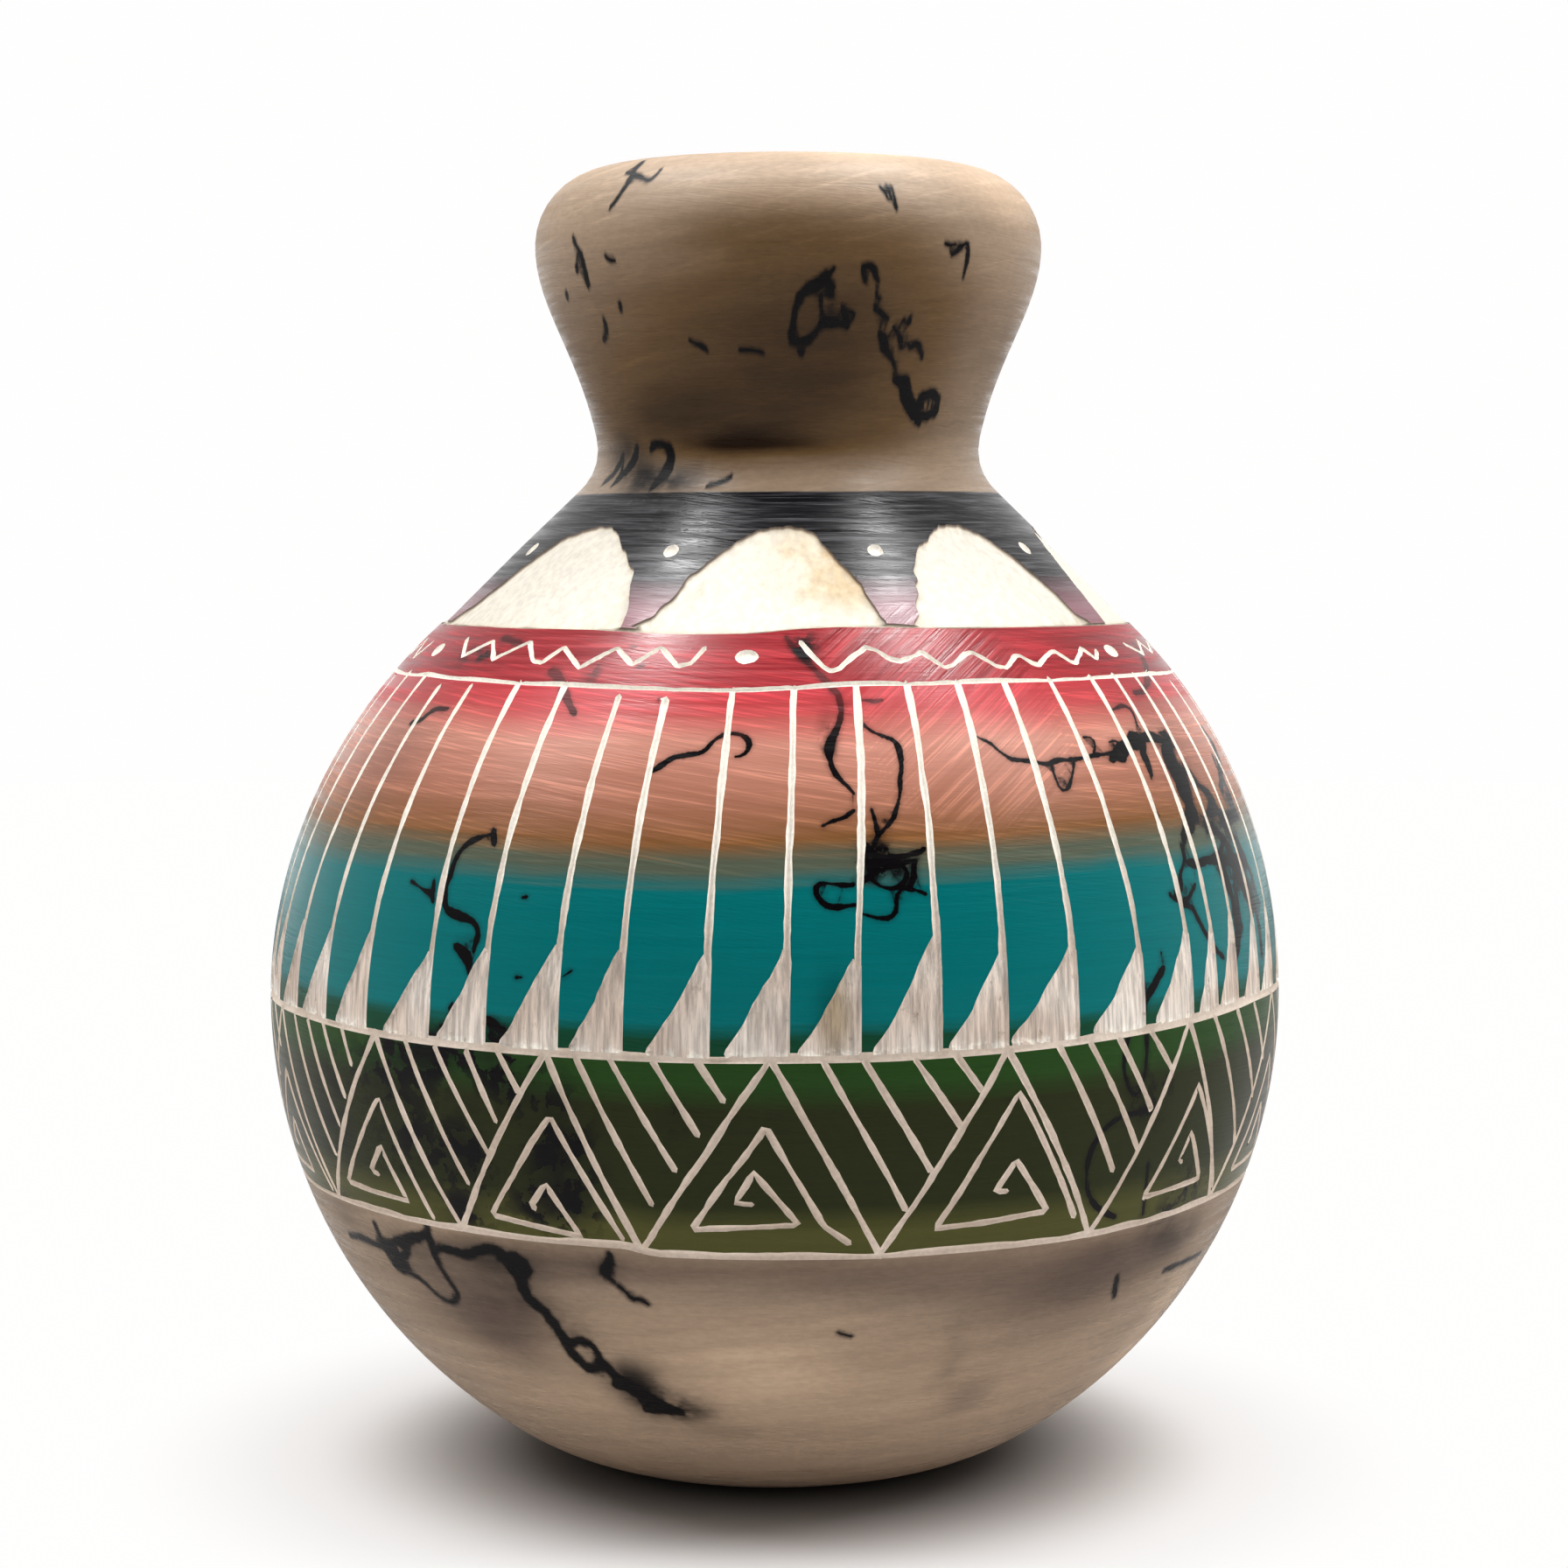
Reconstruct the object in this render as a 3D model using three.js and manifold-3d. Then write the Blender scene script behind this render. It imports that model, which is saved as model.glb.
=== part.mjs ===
// A ball-shaped clay vase with a short waisted neck and a rolled-in rim, made in one piece.
// Four rings, a row of arches and a row of notches are cut a little way into its outer face.
// Millimetres, +Z up. The origin is the centre of the foot, on the surface the vase stands on.
import * as THREE from 'three';
import { mergeVertices } from 'three/addons/utils/BufferGeometryUtils.js';
import Module from 'manifold-3d';

// Belly and foot
const bellyRadius = 79.6;
const bellyHeight = 73.8; // of the widest ring above the table
const footRadius = 21; // the flat ring the vase rests on
const heelRadius = 40; // the soft turn from foot to belly
const shoulderAngle = THREE.MathUtils.degToRad(46); // where the round shoulder runs out into a cone

// Neck and rim
const neckRadius = 29.2; // where the cone and the neck would meet without their fillet
const creaseFillet = 8.6;
const neckFlare = THREE.MathUtils.degToRad(11.8); // how far the neck leans out above the crease
const rimRise = 34.5; // from the crease up to the widest ring of the rim
const rimRadius = 39.7;
const rimRoll = 11.9; // the turn over the top of the rim
const coveFullness = 0.46; // how long the neck keeps its first direction, as a share of its height
const rimFullness = 0.31; // the same below the widest ring of the rim
const neckOffset = 2.1; // the neck was set this far to the right of the belly's axis

// Clay
const wall = 6;
const floorThickness = 8;

// Carved rings, each a V cut round the vase
const ringWidth = 1.2;
const ringDepth = 0.6;
const lowBandDrop = 27.2; // from the widest ring down to the lowest carved one
const notchLineRise = 1; // from the widest ring up to the line that the notches stand on
const plainBandHeight = 7.8; // between the two upper rings
const archLineRise = 1.1; // from the foot of the shoulder's cone up to the arches' line

// Carved fields: arches on the shoulder's cone and notches on the belly
const fieldDepth = 0.5;
const archTurns = [-45.2, -1.4, 40.4, 84, 129, 175, 221, 267.5]; // degrees, spaced by eye
const archWidth = THREE.MathUtils.degToRad(37.6);
const archTopGap = 8.6; // from the arches' tops up to where the cone would reach the neck
const archFullness = 3.3; // the power by which an arch falls off to its sides
const archSteps = 12;
const notchCount = 48;
const firstNotch = THREE.MathUtils.degToRad(1.3);
const notchWidth = THREE.MathUtils.degToRad(5.7);
const notchRise = 13.8;

// Facets
const turnSteps = notchCount; // each notch lies in one facet of the turn
const neckSteps = 6;
const outerFacetError = 0.2; // how far a flat facet may stray from its round
const innerFacetError = 0.6;

const samePoint = 1e-3; // points closer than this are one point

// The crease is where the shoulder's cone would reach the neck
const shoulderEndRadius = bellyRadius * Math.cos(shoulderAngle);
const shoulderEndHeight = bellyHeight + bellyRadius * Math.sin(shoulderAngle);
const creaseHeight = shoulderEndHeight + (shoulderEndRadius - neckRadius) / Math.tan(shoulderAngle);

// Heights of the carved lines
const archLine = shoulderEndHeight + archLineRise;
const plainBandLine = archLine - plainBandHeight;
const notchLine = bellyHeight + notchLineRise;
const lowLine = bellyHeight - lowBandDrop;

const notchPitch = (2 * Math.PI) / notchCount;

const wasm = await Module();
wasm.setup();

const point = (r, z) => new THREE.Vector2(r, z);

// Points of an arc about a centre, from one angle to another, both in radians.
function arc(centre, radius, from, to, facetError = outerFacetError) {
  const stepAngle = 2 * Math.acos(1 - facetError / radius);
  const steps = Math.max(2, Math.ceil(Math.abs(to - from) / stepAngle));
  return Array.from({ length: steps + 1 }, (_, i) => {
    const angle = from + ((to - from) * i) / steps;
    return point(centre.x + radius * Math.cos(angle), centre.y + radius * Math.sin(angle));
  });
}

// A corner between two directions, replaced by an arc that touches both.
function fillet(corner, towardsFirst, towardsSecond, radius, facetError) {
  const half = Math.acos(towardsFirst.dot(towardsSecond)) / 2;
  const middle = towardsFirst.clone().add(towardsSecond).normalize();
  const centre = corner.clone().addScaledVector(middle, radius / Math.sin(half));
  const reach = radius / Math.tan(half);
  const start = corner.clone().addScaledVector(towardsFirst, reach);
  const end = corner.clone().addScaledVector(towardsSecond, reach);
  const angleOf = (p) => (Math.atan2(p.y - centre.y, p.x - centre.x) + 2 * Math.PI) % (2 * Math.PI);
  return { points: arc(centre, radius, angleOf(start), angleOf(end), facetError), end };
}

// The underside of the belly: an arc that touches the heel's arc and is upright at the widest ring.
function lowerBelly(radius, height, foot, heel, facetError) {
  const across = radius - foot;
  const up = height - heel;
  const span = (across * across + up * up - heel * heel) / (2 * (across - heel));
  const centre = point(radius - span, height);
  const meeting = Math.atan2(heel - height, foot - centre.x);
  return [
    ...arc(point(foot, heel), heel, -Math.PI / 2, meeting, facetError),
    ...arc(centre, span, meeting, 0, facetError).slice(1),
  ];
}

// One face of the wall above the widest ring, up to the ring where the rim is widest.
// "inset" is the distance from the outer face of the clay, zero for the outer face itself.
function shoulderAndNeck(inset, facetError) {
  const radius = bellyRadius - inset;
  const downCone = point(Math.sin(shoulderAngle), -Math.cos(shoulderAngle));
  const upNeck = point(Math.sin(neckFlare), Math.cos(neckFlare));
  const half = Math.acos(downCone.dot(upNeck)) / 2;
  const inwards = downCone.clone().add(upNeck).normalize().negate();
  const corner = point(neckRadius, creaseHeight).addScaledVector(inwards, inset / Math.sin(half));
  const crease = fillet(corner, downCone, upNeck, creaseFillet + inset, facetError);
  const top = point(rimRadius - inset, creaseHeight + rimRise);
  const rise = top.y - crease.end.y;
  const neck = new THREE.CubicBezierCurve(
    crease.end,
    crease.end.clone().addScaledVector(upNeck, coveFullness * rise),
    point(top.x, top.y - rimFullness * rise),
    top,
  );
  return {
    points: [
      ...arc(point(0, bellyHeight), radius, 0, shoulderAngle, facetError),
      ...crease.points,
      ...neck.getPoints(neckSteps).slice(1),
    ],
    top,
  };
}

// The belly's face below the widest ring, "inset" into the clay and "rise" above the table.
function bellyFace(inset, rise, facetError) {
  const face = lowerBelly(bellyRadius - inset, bellyHeight - rise, footRadius, heelRadius - inset, facetError);
  return face.map((p) => point(p.x, p.y + rise));
}

// A V cut into a profile that climbs, where it passes the given height.
function withRing(points, height) {
  const next = points.findIndex((p) => p.y > height);
  const from = points[next - 1];
  const along = points[next].clone().sub(from).normalize();
  const middle = from.clone().addScaledVector(along, (height - from.y) / along.y);
  const start = middle.clone().addScaledVector(along, -ringWidth / 2);
  const end = middle.clone().addScaledVector(along, ringWidth / 2);
  const bottom = point(middle.x - along.y * ringDepth, middle.y + along.x * ringDepth);
  return [
    ...points.slice(0, next).filter((p) => p.y < start.y),
    start,
    bottom,
    end,
    ...points.slice(next).filter((p) => p.y > end.y),
  ];
}

// The whole section: foot, outer face, rolled rim, inner face and floor, from axis to axis.
function section() {
  const outer = shoulderAndNeck(0, outerFacetError);
  const inner = shoulderAndNeck(wall, innerFacetError);
  const rollCentre = point(rimRadius - rimRoll, outer.top.y);
  const edgeCentre = point(rollCentre.x, outer.top.y + rimRoll - wall / 2);
  const face = [...bellyFace(0, 0, outerFacetError), ...outer.points.slice(1)];
  const points = [
    point(0, 0),
    ...[lowLine, notchLine, plainBandLine, archLine].reduce(withRing, face),
    ...arc(rollCentre, rimRoll, 0, Math.PI / 2).slice(1),
    ...arc(edgeCentre, wall / 2, Math.PI / 2, (3 * Math.PI) / 2).slice(1),
    ...arc(rollCentre, rimRoll - wall, Math.PI / 2, 0).slice(1),
    ...inner.points.reverse().slice(1),
    ...bellyFace(wall, floorThickness, innerFacetError).reverse().slice(1),
    point(0, floorThickness),
  ];
  return points.filter((p, i) => i === 0 || p.distanceTo(points[i - 1]) > samePoint);
}

// The solid that the carved fields stop at, "fieldDepth" under the outer face.
function coreSection() {
  const outer = shoulderAndNeck(fieldDepth, outerFacetError);
  const belly = bellyFace(fieldDepth, fieldDepth, outerFacetError);
  return [point(0, fieldDepth), ...belly, ...outer.points.slice(1), point(0, outer.top.y)];
}

// A closed geometry as a solid that can be joined and cut.
function solidOf(geometry) {
  geometry.deleteAttribute('normal');
  geometry.deleteAttribute('uv');
  const merged = mergeVertices(geometry, samePoint);
  const index = merged.getIndex().array;
  const corners = [];
  for (let i = 0; i < index.length; i += 3) {
    const [a, b, c] = index.slice(i, i + 3);
    if (a !== b && b !== c && c !== a) corners.push(a, b, c);
  }
  return new wasm.Manifold(
    new wasm.Mesh({
      numProp: 3,
      vertProperties: new Float32Array(merged.getAttribute('position').array),
      triVerts: new Uint32Array(corners),
    }),
  );
}

function geometryOf(solid) {
  const { numProp, vertProperties, triVerts } = solid.getMesh();
  const geometry = new THREE.BufferGeometry();
  geometry.setAttribute('position', new THREE.BufferAttribute(vertProperties, numProp));
  geometry.setIndex(new THREE.BufferAttribute(triVerts, 1));
  return geometry;
}

// The turn's facets meet midway between two notches.
function turned(profile) {
  const geometry = new THREE.LatheGeometry(profile, turnSteps, firstNotch + (notchPitch - notchWidth) / 2);
  geometry.rotateX(Math.PI / 2);
  return solidOf(geometry);
}

// A block that reaches from inside the core to outside the vase, all round one outline.
// The outline's points are (angle round the vase, height); angle zero is the front, which faces -Y.
function radialBlock(outline) {
  const near = neckRadius / 2;
  const far = bellyRadius * 1.5;
  const place = (radius) => (p) => [radius * Math.sin(p.x), -radius * Math.cos(p.x), p.y];
  const count = outline.length;
  const positions = [...outline.map(place(near)), ...outline.map(place(far))].flat();
  const caps = THREE.ShapeUtils.triangulateShape(outline, []);
  const index = [
    ...caps.flatMap(([a, b, c]) => [a, c, b]),
    ...caps.flatMap(([a, b, c]) => [a + count, b + count, c + count]),
    ...outline.flatMap((_, i) => {
      const j = (i + 1) % count;
      return [i, j, j + count, i, j + count, i + count];
    }),
  ];
  const geometry = new THREE.BufferGeometry();
  geometry.setAttribute('position', new THREE.Float32BufferAttribute(positions, 3));
  geometry.setIndex(index);
  return solidOf(geometry);
}

// An arch stands on its line, and its height falls off as a power of the way from its middle.
function archOutline(middle) {
  const rise = creaseHeight - archTopGap - archLine;
  return Array.from({ length: archSteps + 1 }, (_, i) => {
    const way = Math.sin(((2 * i) / archSteps - 1) * (Math.PI / 2));
    return point(middle - (way * archWidth) / 2, archLine + rise * (1 - Math.abs(way) ** archFullness));
  });
}

// A notch stands upright on its line and slants out to the left.
function notchOutline(right) {
  const top = point(right, notchLine + notchRise);
  return [point(right, notchLine), top, point(right - notchWidth, notchLine)];
}

// The neck's offset grows smoothly over the shoulder and is whole from the crease up.
function setNeckAside(geometry) {
  const position = geometry.getAttribute('position');
  for (let i = 0; i < position.count; i += 1) {
    const share = THREE.MathUtils.smoothstep(position.getZ(i), bellyHeight, creaseHeight);
    position.setX(i, position.getX(i) + neckOffset * share);
  }
  return geometry;
}

function vesselGeometry() {
  const arches = archTurns.map((turn) => archOutline(THREE.MathUtils.degToRad(turn)));
  const notches = Array.from({ length: notchCount }, (_, i) => notchOutline(firstNotch + i * notchPitch));
  const blocks = wasm.Manifold.union([...arches, ...notches].map(radialBlock));
  const fields = blocks.subtract(turned(coreSection()));
  return setNeckAside(geometryOf(turned(section()).subtract(fields)));
}

const burnishedClay = new THREE.MeshStandardMaterial({ color: 0xa08a76, roughness: 0.45, metalness: 0 });

const vessel = new THREE.Mesh(vesselGeometry(), burnishedClay);
vessel.name = 'vessel';

const vase = new THREE.Group();
vase.name = 'carved_vase';
vase.add(vessel);

export default vase;
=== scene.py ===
"""A carved and painted clay vase: one turned body whose ornament is cut through the paint."""

import bmesh
import bpy
import numpy as np
from mathutils import Matrix, Vector
from mathutils.geometry import delaunay_2d_cdt


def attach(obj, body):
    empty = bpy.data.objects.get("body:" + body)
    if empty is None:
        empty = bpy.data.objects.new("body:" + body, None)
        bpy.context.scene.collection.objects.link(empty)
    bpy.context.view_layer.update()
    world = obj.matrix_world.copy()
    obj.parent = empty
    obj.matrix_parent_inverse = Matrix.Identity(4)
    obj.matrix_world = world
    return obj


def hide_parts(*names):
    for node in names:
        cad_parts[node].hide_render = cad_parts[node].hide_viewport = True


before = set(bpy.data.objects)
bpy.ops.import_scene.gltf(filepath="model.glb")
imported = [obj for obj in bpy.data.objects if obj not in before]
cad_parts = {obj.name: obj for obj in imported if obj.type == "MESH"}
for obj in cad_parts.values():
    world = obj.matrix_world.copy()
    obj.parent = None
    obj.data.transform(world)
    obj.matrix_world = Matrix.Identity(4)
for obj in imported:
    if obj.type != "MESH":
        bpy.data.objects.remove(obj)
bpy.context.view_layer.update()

bl_info = {
    "name": "Carved clay vase",
    "version": (1, 0, 0),
    "blender": (4, 5, 0),
    "location": "3D View > Sidebar > Vase",
    "description": "Builds a ball-shaped vase with carved and painted bands",
    "category": "Add Mesh",
}

MM = 0.001
# The camera of the photograph, in the frame's millimetres and degrees, and its picture in pixels
EYE = (1.45, -541.3, 144.1)
TILT = 3.99
LENS = 78.35
SENSOR = 36.0
PICTURE_SIDE = 1792
NODE = "vessel"
BODY = "root"
TINY = 1e-9  # keeps a division off zero


def length(name, description, millimetres):
    """A size that a user may change, kept in metres."""
    return bpy.props.FloatProperty(
        name=name, description=description, default=millimetres * MM, min=0.0, unit="LENGTH"
    )


def angle(name, description, degrees):
    """An angle that a user may change."""
    return bpy.props.FloatProperty(
        name=name, description=description, default=np.radians(degrees), subtype="ANGLE"
    )


def linear(red, green, blue):
    """A colour as seen on a screen, 0 to 255, turned to the linear values that materials use."""
    c = np.array([red, green, blue]) / 255.0
    return tuple(np.where(c <= 0.04045, c / 12.92, ((c + 0.055) / 1.055) ** 2.4).tolist())


def colour(name, description, red, green, blue):
    """A colour that a user may change."""
    return bpy.props.FloatVectorProperty(
        name=name,
        description=description,
        default=linear(red, green, blue),
        size=3,
        min=0.0,
        max=1.0,
        subtype="COLOR",
    )


def how_many(name, description, number):
    """A number of like things that a user may change."""
    return bpy.props.IntProperty(name=name, description=description, default=number, min=1)


def lamp_power(name, description, watts):
    """The power of a lamp that a user may change."""
    return bpy.props.FloatProperty(
        name=name, description=description, default=watts, min=0.0, unit="POWER"
    )


class VaseShape(bpy.types.PropertyGroup):
    """The section of the clay wall."""

    belly_radius: length("Belly radius", "Radius of the widest ring", 79.6)
    belly_height: length("Belly height", "Height of the widest ring above the table", 73.8)
    foot_radius: length("Foot radius", "Radius of the flat foot", 21)
    heel_radius: length("Heel radius", "Radius of the soft turn from foot to belly", 40)
    shoulder_angle: angle("Shoulder angle", "Where the round shoulder runs out into a cone", 46)
    neck_radius: length("Neck radius", "Where the cone and the neck would meet", 29.2)
    crease_fillet: length("Crease fillet", "Radius between shoulder and neck", 8.6)
    neck_flare: angle("Neck flare", "How far the neck leans out above the crease", 11.8)
    rim_rise: length("Rim rise", "From the crease up to the rim's widest ring", 34.5)
    rim_radius: length("Rim radius", "Radius of the rim's widest ring", 39.7)
    rim_roll: length("Rim roll", "Radius of the turn over the top of the rim", 11.9)
    neck_offset: length("Neck offset", "How far the neck stands to the right of the belly", 2.1)
    wall: length("Wall", "Thickness of the clay", 6)
    floor: length("Floor", "Thickness of the clay under the belly", 8)


class VaseOrnament(bpy.types.PropertyGroup):
    """The carved ornament."""

    feathers: how_many("Feathers", "Feathers round the belly", 48)
    triangles: how_many("Triangles", "Triangles round the low band", 15)
    depth: length("Depth", "How deep the strokes are cut", 0.38)
    bevel: length("Bevel", "How wide the cut's sloping side is", 0.3)
    quill_width: length("Quill width", "Width of a feather's quill", 1.02)
    line_width: length("Line width", "Width of the strokes in the low band", 0.98)
    fine_width: length("Fine width", "Width of the waves in the red band", 0.8)
    grid: length("Grid", "Distance between the points of plain surface", 2.3)


class VaseFinish(bpy.types.PropertyGroup):
    """Colours of clay, slip and burns."""

    clay: colour("Clay", "Bare burnished clay", 154, 133, 112)
    clay_brown: colour("Browned clay", "Clay browned by smoke", 106, 81, 52)
    clay_grey: colour("Greyed clay", "Clay of the base greyed by smoke", 100, 84, 73)
    clay_dark: colour("Fumed clay", "Clay darkened by smoke", 40, 25, 13)
    cut: colour("Cut clay", "Fresh clay in the strokes", 250, 244, 232)
    cream: colour("Arch clay", "Pale clay of the arches", 236, 229, 215)
    black: colour("Black", "Slip of the shoulder", 17, 16, 19)
    dusk: colour("Dusk", "Foot of the black band", 142, 98, 106)
    red: colour("Red", "Slip of the wave band", 146, 36, 42)
    rose: colour("Rose", "Top of the feather band", 182, 70, 71)
    pink: colour("Pink", "Top edge of the feather band", 186, 48, 58)
    salmon: colour("Salmon", "Blend between rose and copper", 196, 134, 116)
    copper: colour("Copper", "Upper feather band", 166, 110, 88)
    ochre: colour("Ochre", "Foot of the copper", 126, 84, 48)
    sage: colour("Sage", "Blend between ochre and teal", 84, 90, 74)
    teal: colour("Teal", "Lower feather band", 0, 106, 108)
    pine: colour("Pine", "Foot of the teal", 14, 66, 44)
    leaf: colour("Leaf", "Top of the low band", 34, 66, 22)
    olive: colour("Olive", "Middle of the low band", 37, 42, 14)
    moss: colour("Moss", "Foot of the low band", 74, 74, 34)
    soot: colour("Soot", "Burns left by hair", 9, 7, 9)


class VaseView(bpy.types.PropertyGroup):
    """Where the vase is seen from, and its light."""

    eye: bpy.props.FloatVectorProperty(
        name="Eye",
        description="Where the camera stands",
        default=np.multiply(EYE, MM).tolist(),
        subtype="XYZ",
        unit="LENGTH",
    )
    tilt: angle("Tilt", "How far the camera looks down", TILT)
    lens: bpy.props.FloatProperty(
        name="Lens", description="Focal length in millimetres", default=LENS, min=1.0
    )
    surroundings: bpy.props.FloatProperty(
        name="Surroundings",
        description="How strongly the white room lights the vase",
        default=0.42,
        min=0.0,
    )
    left_lamp: lamp_power("Left lamp", "Power of the left lamp", 6.5)
    right_lamp: lamp_power("Right lamp", "Power of the right lamp", 8.0)
    gleam: lamp_power("Gleam", "Power of the long lamps seen in the gloss", 6.5)
    shine: lamp_power("Shine", "Power of the short lamps seen in the gloss of the shoulder", 11.0)


# Heights of the rings as the hand drew them: (degrees, height)
TOP_LINE = (
    (-60, 132.3), (-30, 132.2), (-16, 131.7), (-5, 131.9), (1, 132.5), (8, 132.8), (30, 132.5),
    (50, 132.5), (120, 132.2), (200, 132.4),
)
FEATHER_LINE = (
    (-60, 124.8), (-25, 124.1), (-5, 123.8), (9, 124.6), (50, 124.9), (120, 124.5), (200, 124.6),
)
NOTCH_LINE = (
    (-60, 74.9), (-40, 74.4), (-10, 74.2), (12, 74.3), (30, 74.9), (50, 75.9), (65, 76.8),
    (130, 75.5), (220, 75.0),
)
FOOT_LINE = (
    (-60, 47.4), (-40, 47.0), (-16, 46.9), (-13, 45.9), (10, 45.8), (38, 46.0), (50, 46.6),
    (65, 47.3), (140, 46.6), (220, 47.0),
)
# The rings in the order in which they are cut: (heights, half width, kind)
RINGS = (
    (TOP_LINE, 0.38, "arch"), (FEATHER_LINE, 0.36, "line"), (NOTCH_LINE, 0.62, "line"),
    (FOOT_LINE, 0.5, "line"),
)
RING_TURNS = np.arange(-200, 201, 2.0)
RING_STEP = 1.6
RING_LINKS = 16  # links in each piece that a ring is cut into
RING_WAVER = 0.12
RING_SWELL = 0.18  # share of its width by which a ring swells and thins

# Heights to which the bands' edges are evened out, so that paint follows the hand-drawn rings
FOOT_LEVEL = 46.6
NOTCH_LEVEL = 74.8
FEATHER_LEVEL = 124.4
TOP_LEVEL = 132.2
BLACK_LEVEL = 151.8
RIM_LEVEL = 204.0
EVEN_LEVELS = (0, FOOT_LEVEL, NOTCH_LEVEL, FEATHER_LEVEL, TOP_LEVEL, BLACK_LEVEL, RIM_LEVEL)
BLACK_EDGE = 152.0  # height of the black band's upper edge at the left, where it is lowest
BLACK_EDGE_RISE = 0.2  # half of its rise towards the right

STROKE_STEP = 1.1
STROKE_WAVER = 0.05
STROKE_SWELL = 0.13
THINNEST_STROKE = 0.2

# Outlines of the arches that face the viewer, from the left foot over the top: pixels of the photograph
ARCHES = (
    ((506, 716), (540, 693), (600, 646), (640, 617), (665, 607), (685, 602), (699, 603), (707, 611),
     (718, 638), (724, 651), (718, 688), (716, 702), (709, 718)),
    ((720, 716), (745, 706), (750, 698), (772, 680), (785, 661), (810, 642), (840, 619), (868, 605),
     (900, 601), (918, 603), (929, 608), (958, 640), (985, 668), (997, 688), (1008, 707),
     (1014, 713)),
    ((1044, 716), (1050, 700), (1046, 689), (1049, 676), (1045, 668), (1049, 661), (1044, 653),
     (1047, 630), (1050, 621), (1060, 619), (1064, 608), (1073, 600), (1095, 599), (1125, 613),
     (1155, 634), (1185, 658), (1215, 686), (1228, 700), (1247, 712)),
)
# The other arches: their middles, as the hand spaced them, their form and how uneven it is
ARCH_TURNS = (84, 129, 175, 221, 265)
ARCH_HALF_TURN = 18.8
ARCH_HALF_SPREAD = 0.02
ARCH_TOP = 147.2
ARCH_TOP_SPREAD = 0.35
ARCH_POWER = 3.3  # how flat the arch's crown is
ARCH_STEP = 0.7
CHIP = 0.13  # how far the edge of an arch is chipped
DOT_TURNS = (-67.8, -23.8, 17.6, 58.8, 106.5, 152, 198, 243)
DOT_HEIGHT = 143.5
DOT_SPREAD = 0.3
DOT_SIZE = (1.2, 1.25)  # half its width and height

# Corners of the two runs of waves that face the viewer: pixels of the photograph
WAVES_LEFT = (
    (534, 730), (529, 750), (564, 732), (564, 753), (606, 733), (609, 755), (619, 757), (645, 740),
    (662, 763), (705, 740), (722, 759), (756, 740), (774, 761), (790, 758), (805, 741),
)
WAVES_RIGHT = (
    (915, 734), (925, 746), (942, 763), (950, 767), (960, 764), (975, 750), (990, 740), (1003, 744),
    (1015, 752), (1030, 756), (1045, 749), (1053, 745), (1065, 753), (1080, 763), (1090, 760),
    (1102, 748), (1110, 745), (1125, 753), (1140, 762), (1150, 763), (1160, 750), (1165, 749),
    (1180, 758), (1188, 760), (1200, 745), (1205, 744), (1225, 757), (1230, 758), (1236, 741),
    (1253, 753), (1253, 743),
)
WAVE_STEP = 0.7
# Waves on the far side: corners in a run, their spreads, and how far a run stays off its spots
WAVE_CORNERS = 13
WAVE_TURN_SPREAD = 0.5
WAVE_HIGH = 1.2
WAVE_LOW = -1.1
WAVE_HEIGHT_SPREAD = 0.25
WAVE_MARGINS = (6.5, -6)
# Middles of the round spots between the runs, in degrees
SPOT_TURNS = (-64.9, -5.2, 57.6, 119, 180.5, 240)
SPOT_HEIGHT = 128.4
SPOT_SIZE = (1.75, 1.25)
ROUND_POINTS = 14  # on the outline of a dot or a spot
ROUND_SWELL = 0.07

# Feathers that face the viewer: (degrees at the top, degrees at the notch, notch width in degrees,
# how far its top is short)
FEATHERS = (
    (-68.8, -71.2, 4.8, 0), (-61.5, -63.8, 5.0, 0), (-55.0, -56.0, 5.6, 1.4), (-47.5, -47.9, 5.4, 0.9),
    (-38.5, -38.2, 6.3, 0), (-30.5, -30.8, 5.8, 0), (-21.8, -22.4, 6.2, 1.3), (-15.2, -15.5, 5.2, 1.6),
    (-6.6, -6.7, 5.9, 0), (1.3, 1.2, 5.9, 0), (9.6, 8.3, 5.8, 0), (16.5, 16.6, 6.6, 0),
    (23.8, 23.8, 6.0, 0), (31.0, 32.2, 7.6, 0), (39.0, 41.3, 6.8, 0), (47.5, 49.4, 6.0, 0),
    (53.2, 54.4, 3.4, 0), (59.0, 59.4, 4.0, 0), (64.5, 66.2, 4.6, 0),
)
# The feathers behind: how uneven their places are, and mean and spread of the notch's width
FEATHER_SPREAD = 0.5
FEATHER_LEAN = 0.9
FEATHER_WIDTH = 5.6
FEATHER_WIDTH_SPREAD = 0.6
FEATHER_SHORT = 1.2
QUILL_BEND = 108  # height at which a quill bends, and the share of its lean that it has there
QUILL_BEND_SHARE = 0.35
NOTCH_TOP = 88.6
NOTCH_TOP_SPREAD = 0.7
NOTCH_FOOT = 74.4  # mean height at which the notches stand
NOTCH_FOLLOW = 0.5  # share of the ring's rise that the notch's top follows
NOTCH_EDGE = 0.42  # degrees that a notch reaches past its quill's middle
NOTCH_HEEL = 1.3  # how far above the ring its slanting side ends
NOTCH_BEND = 0.1  # share of that side's way that comes only at its foot
NOTCH_WAVER = 0.1

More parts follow.
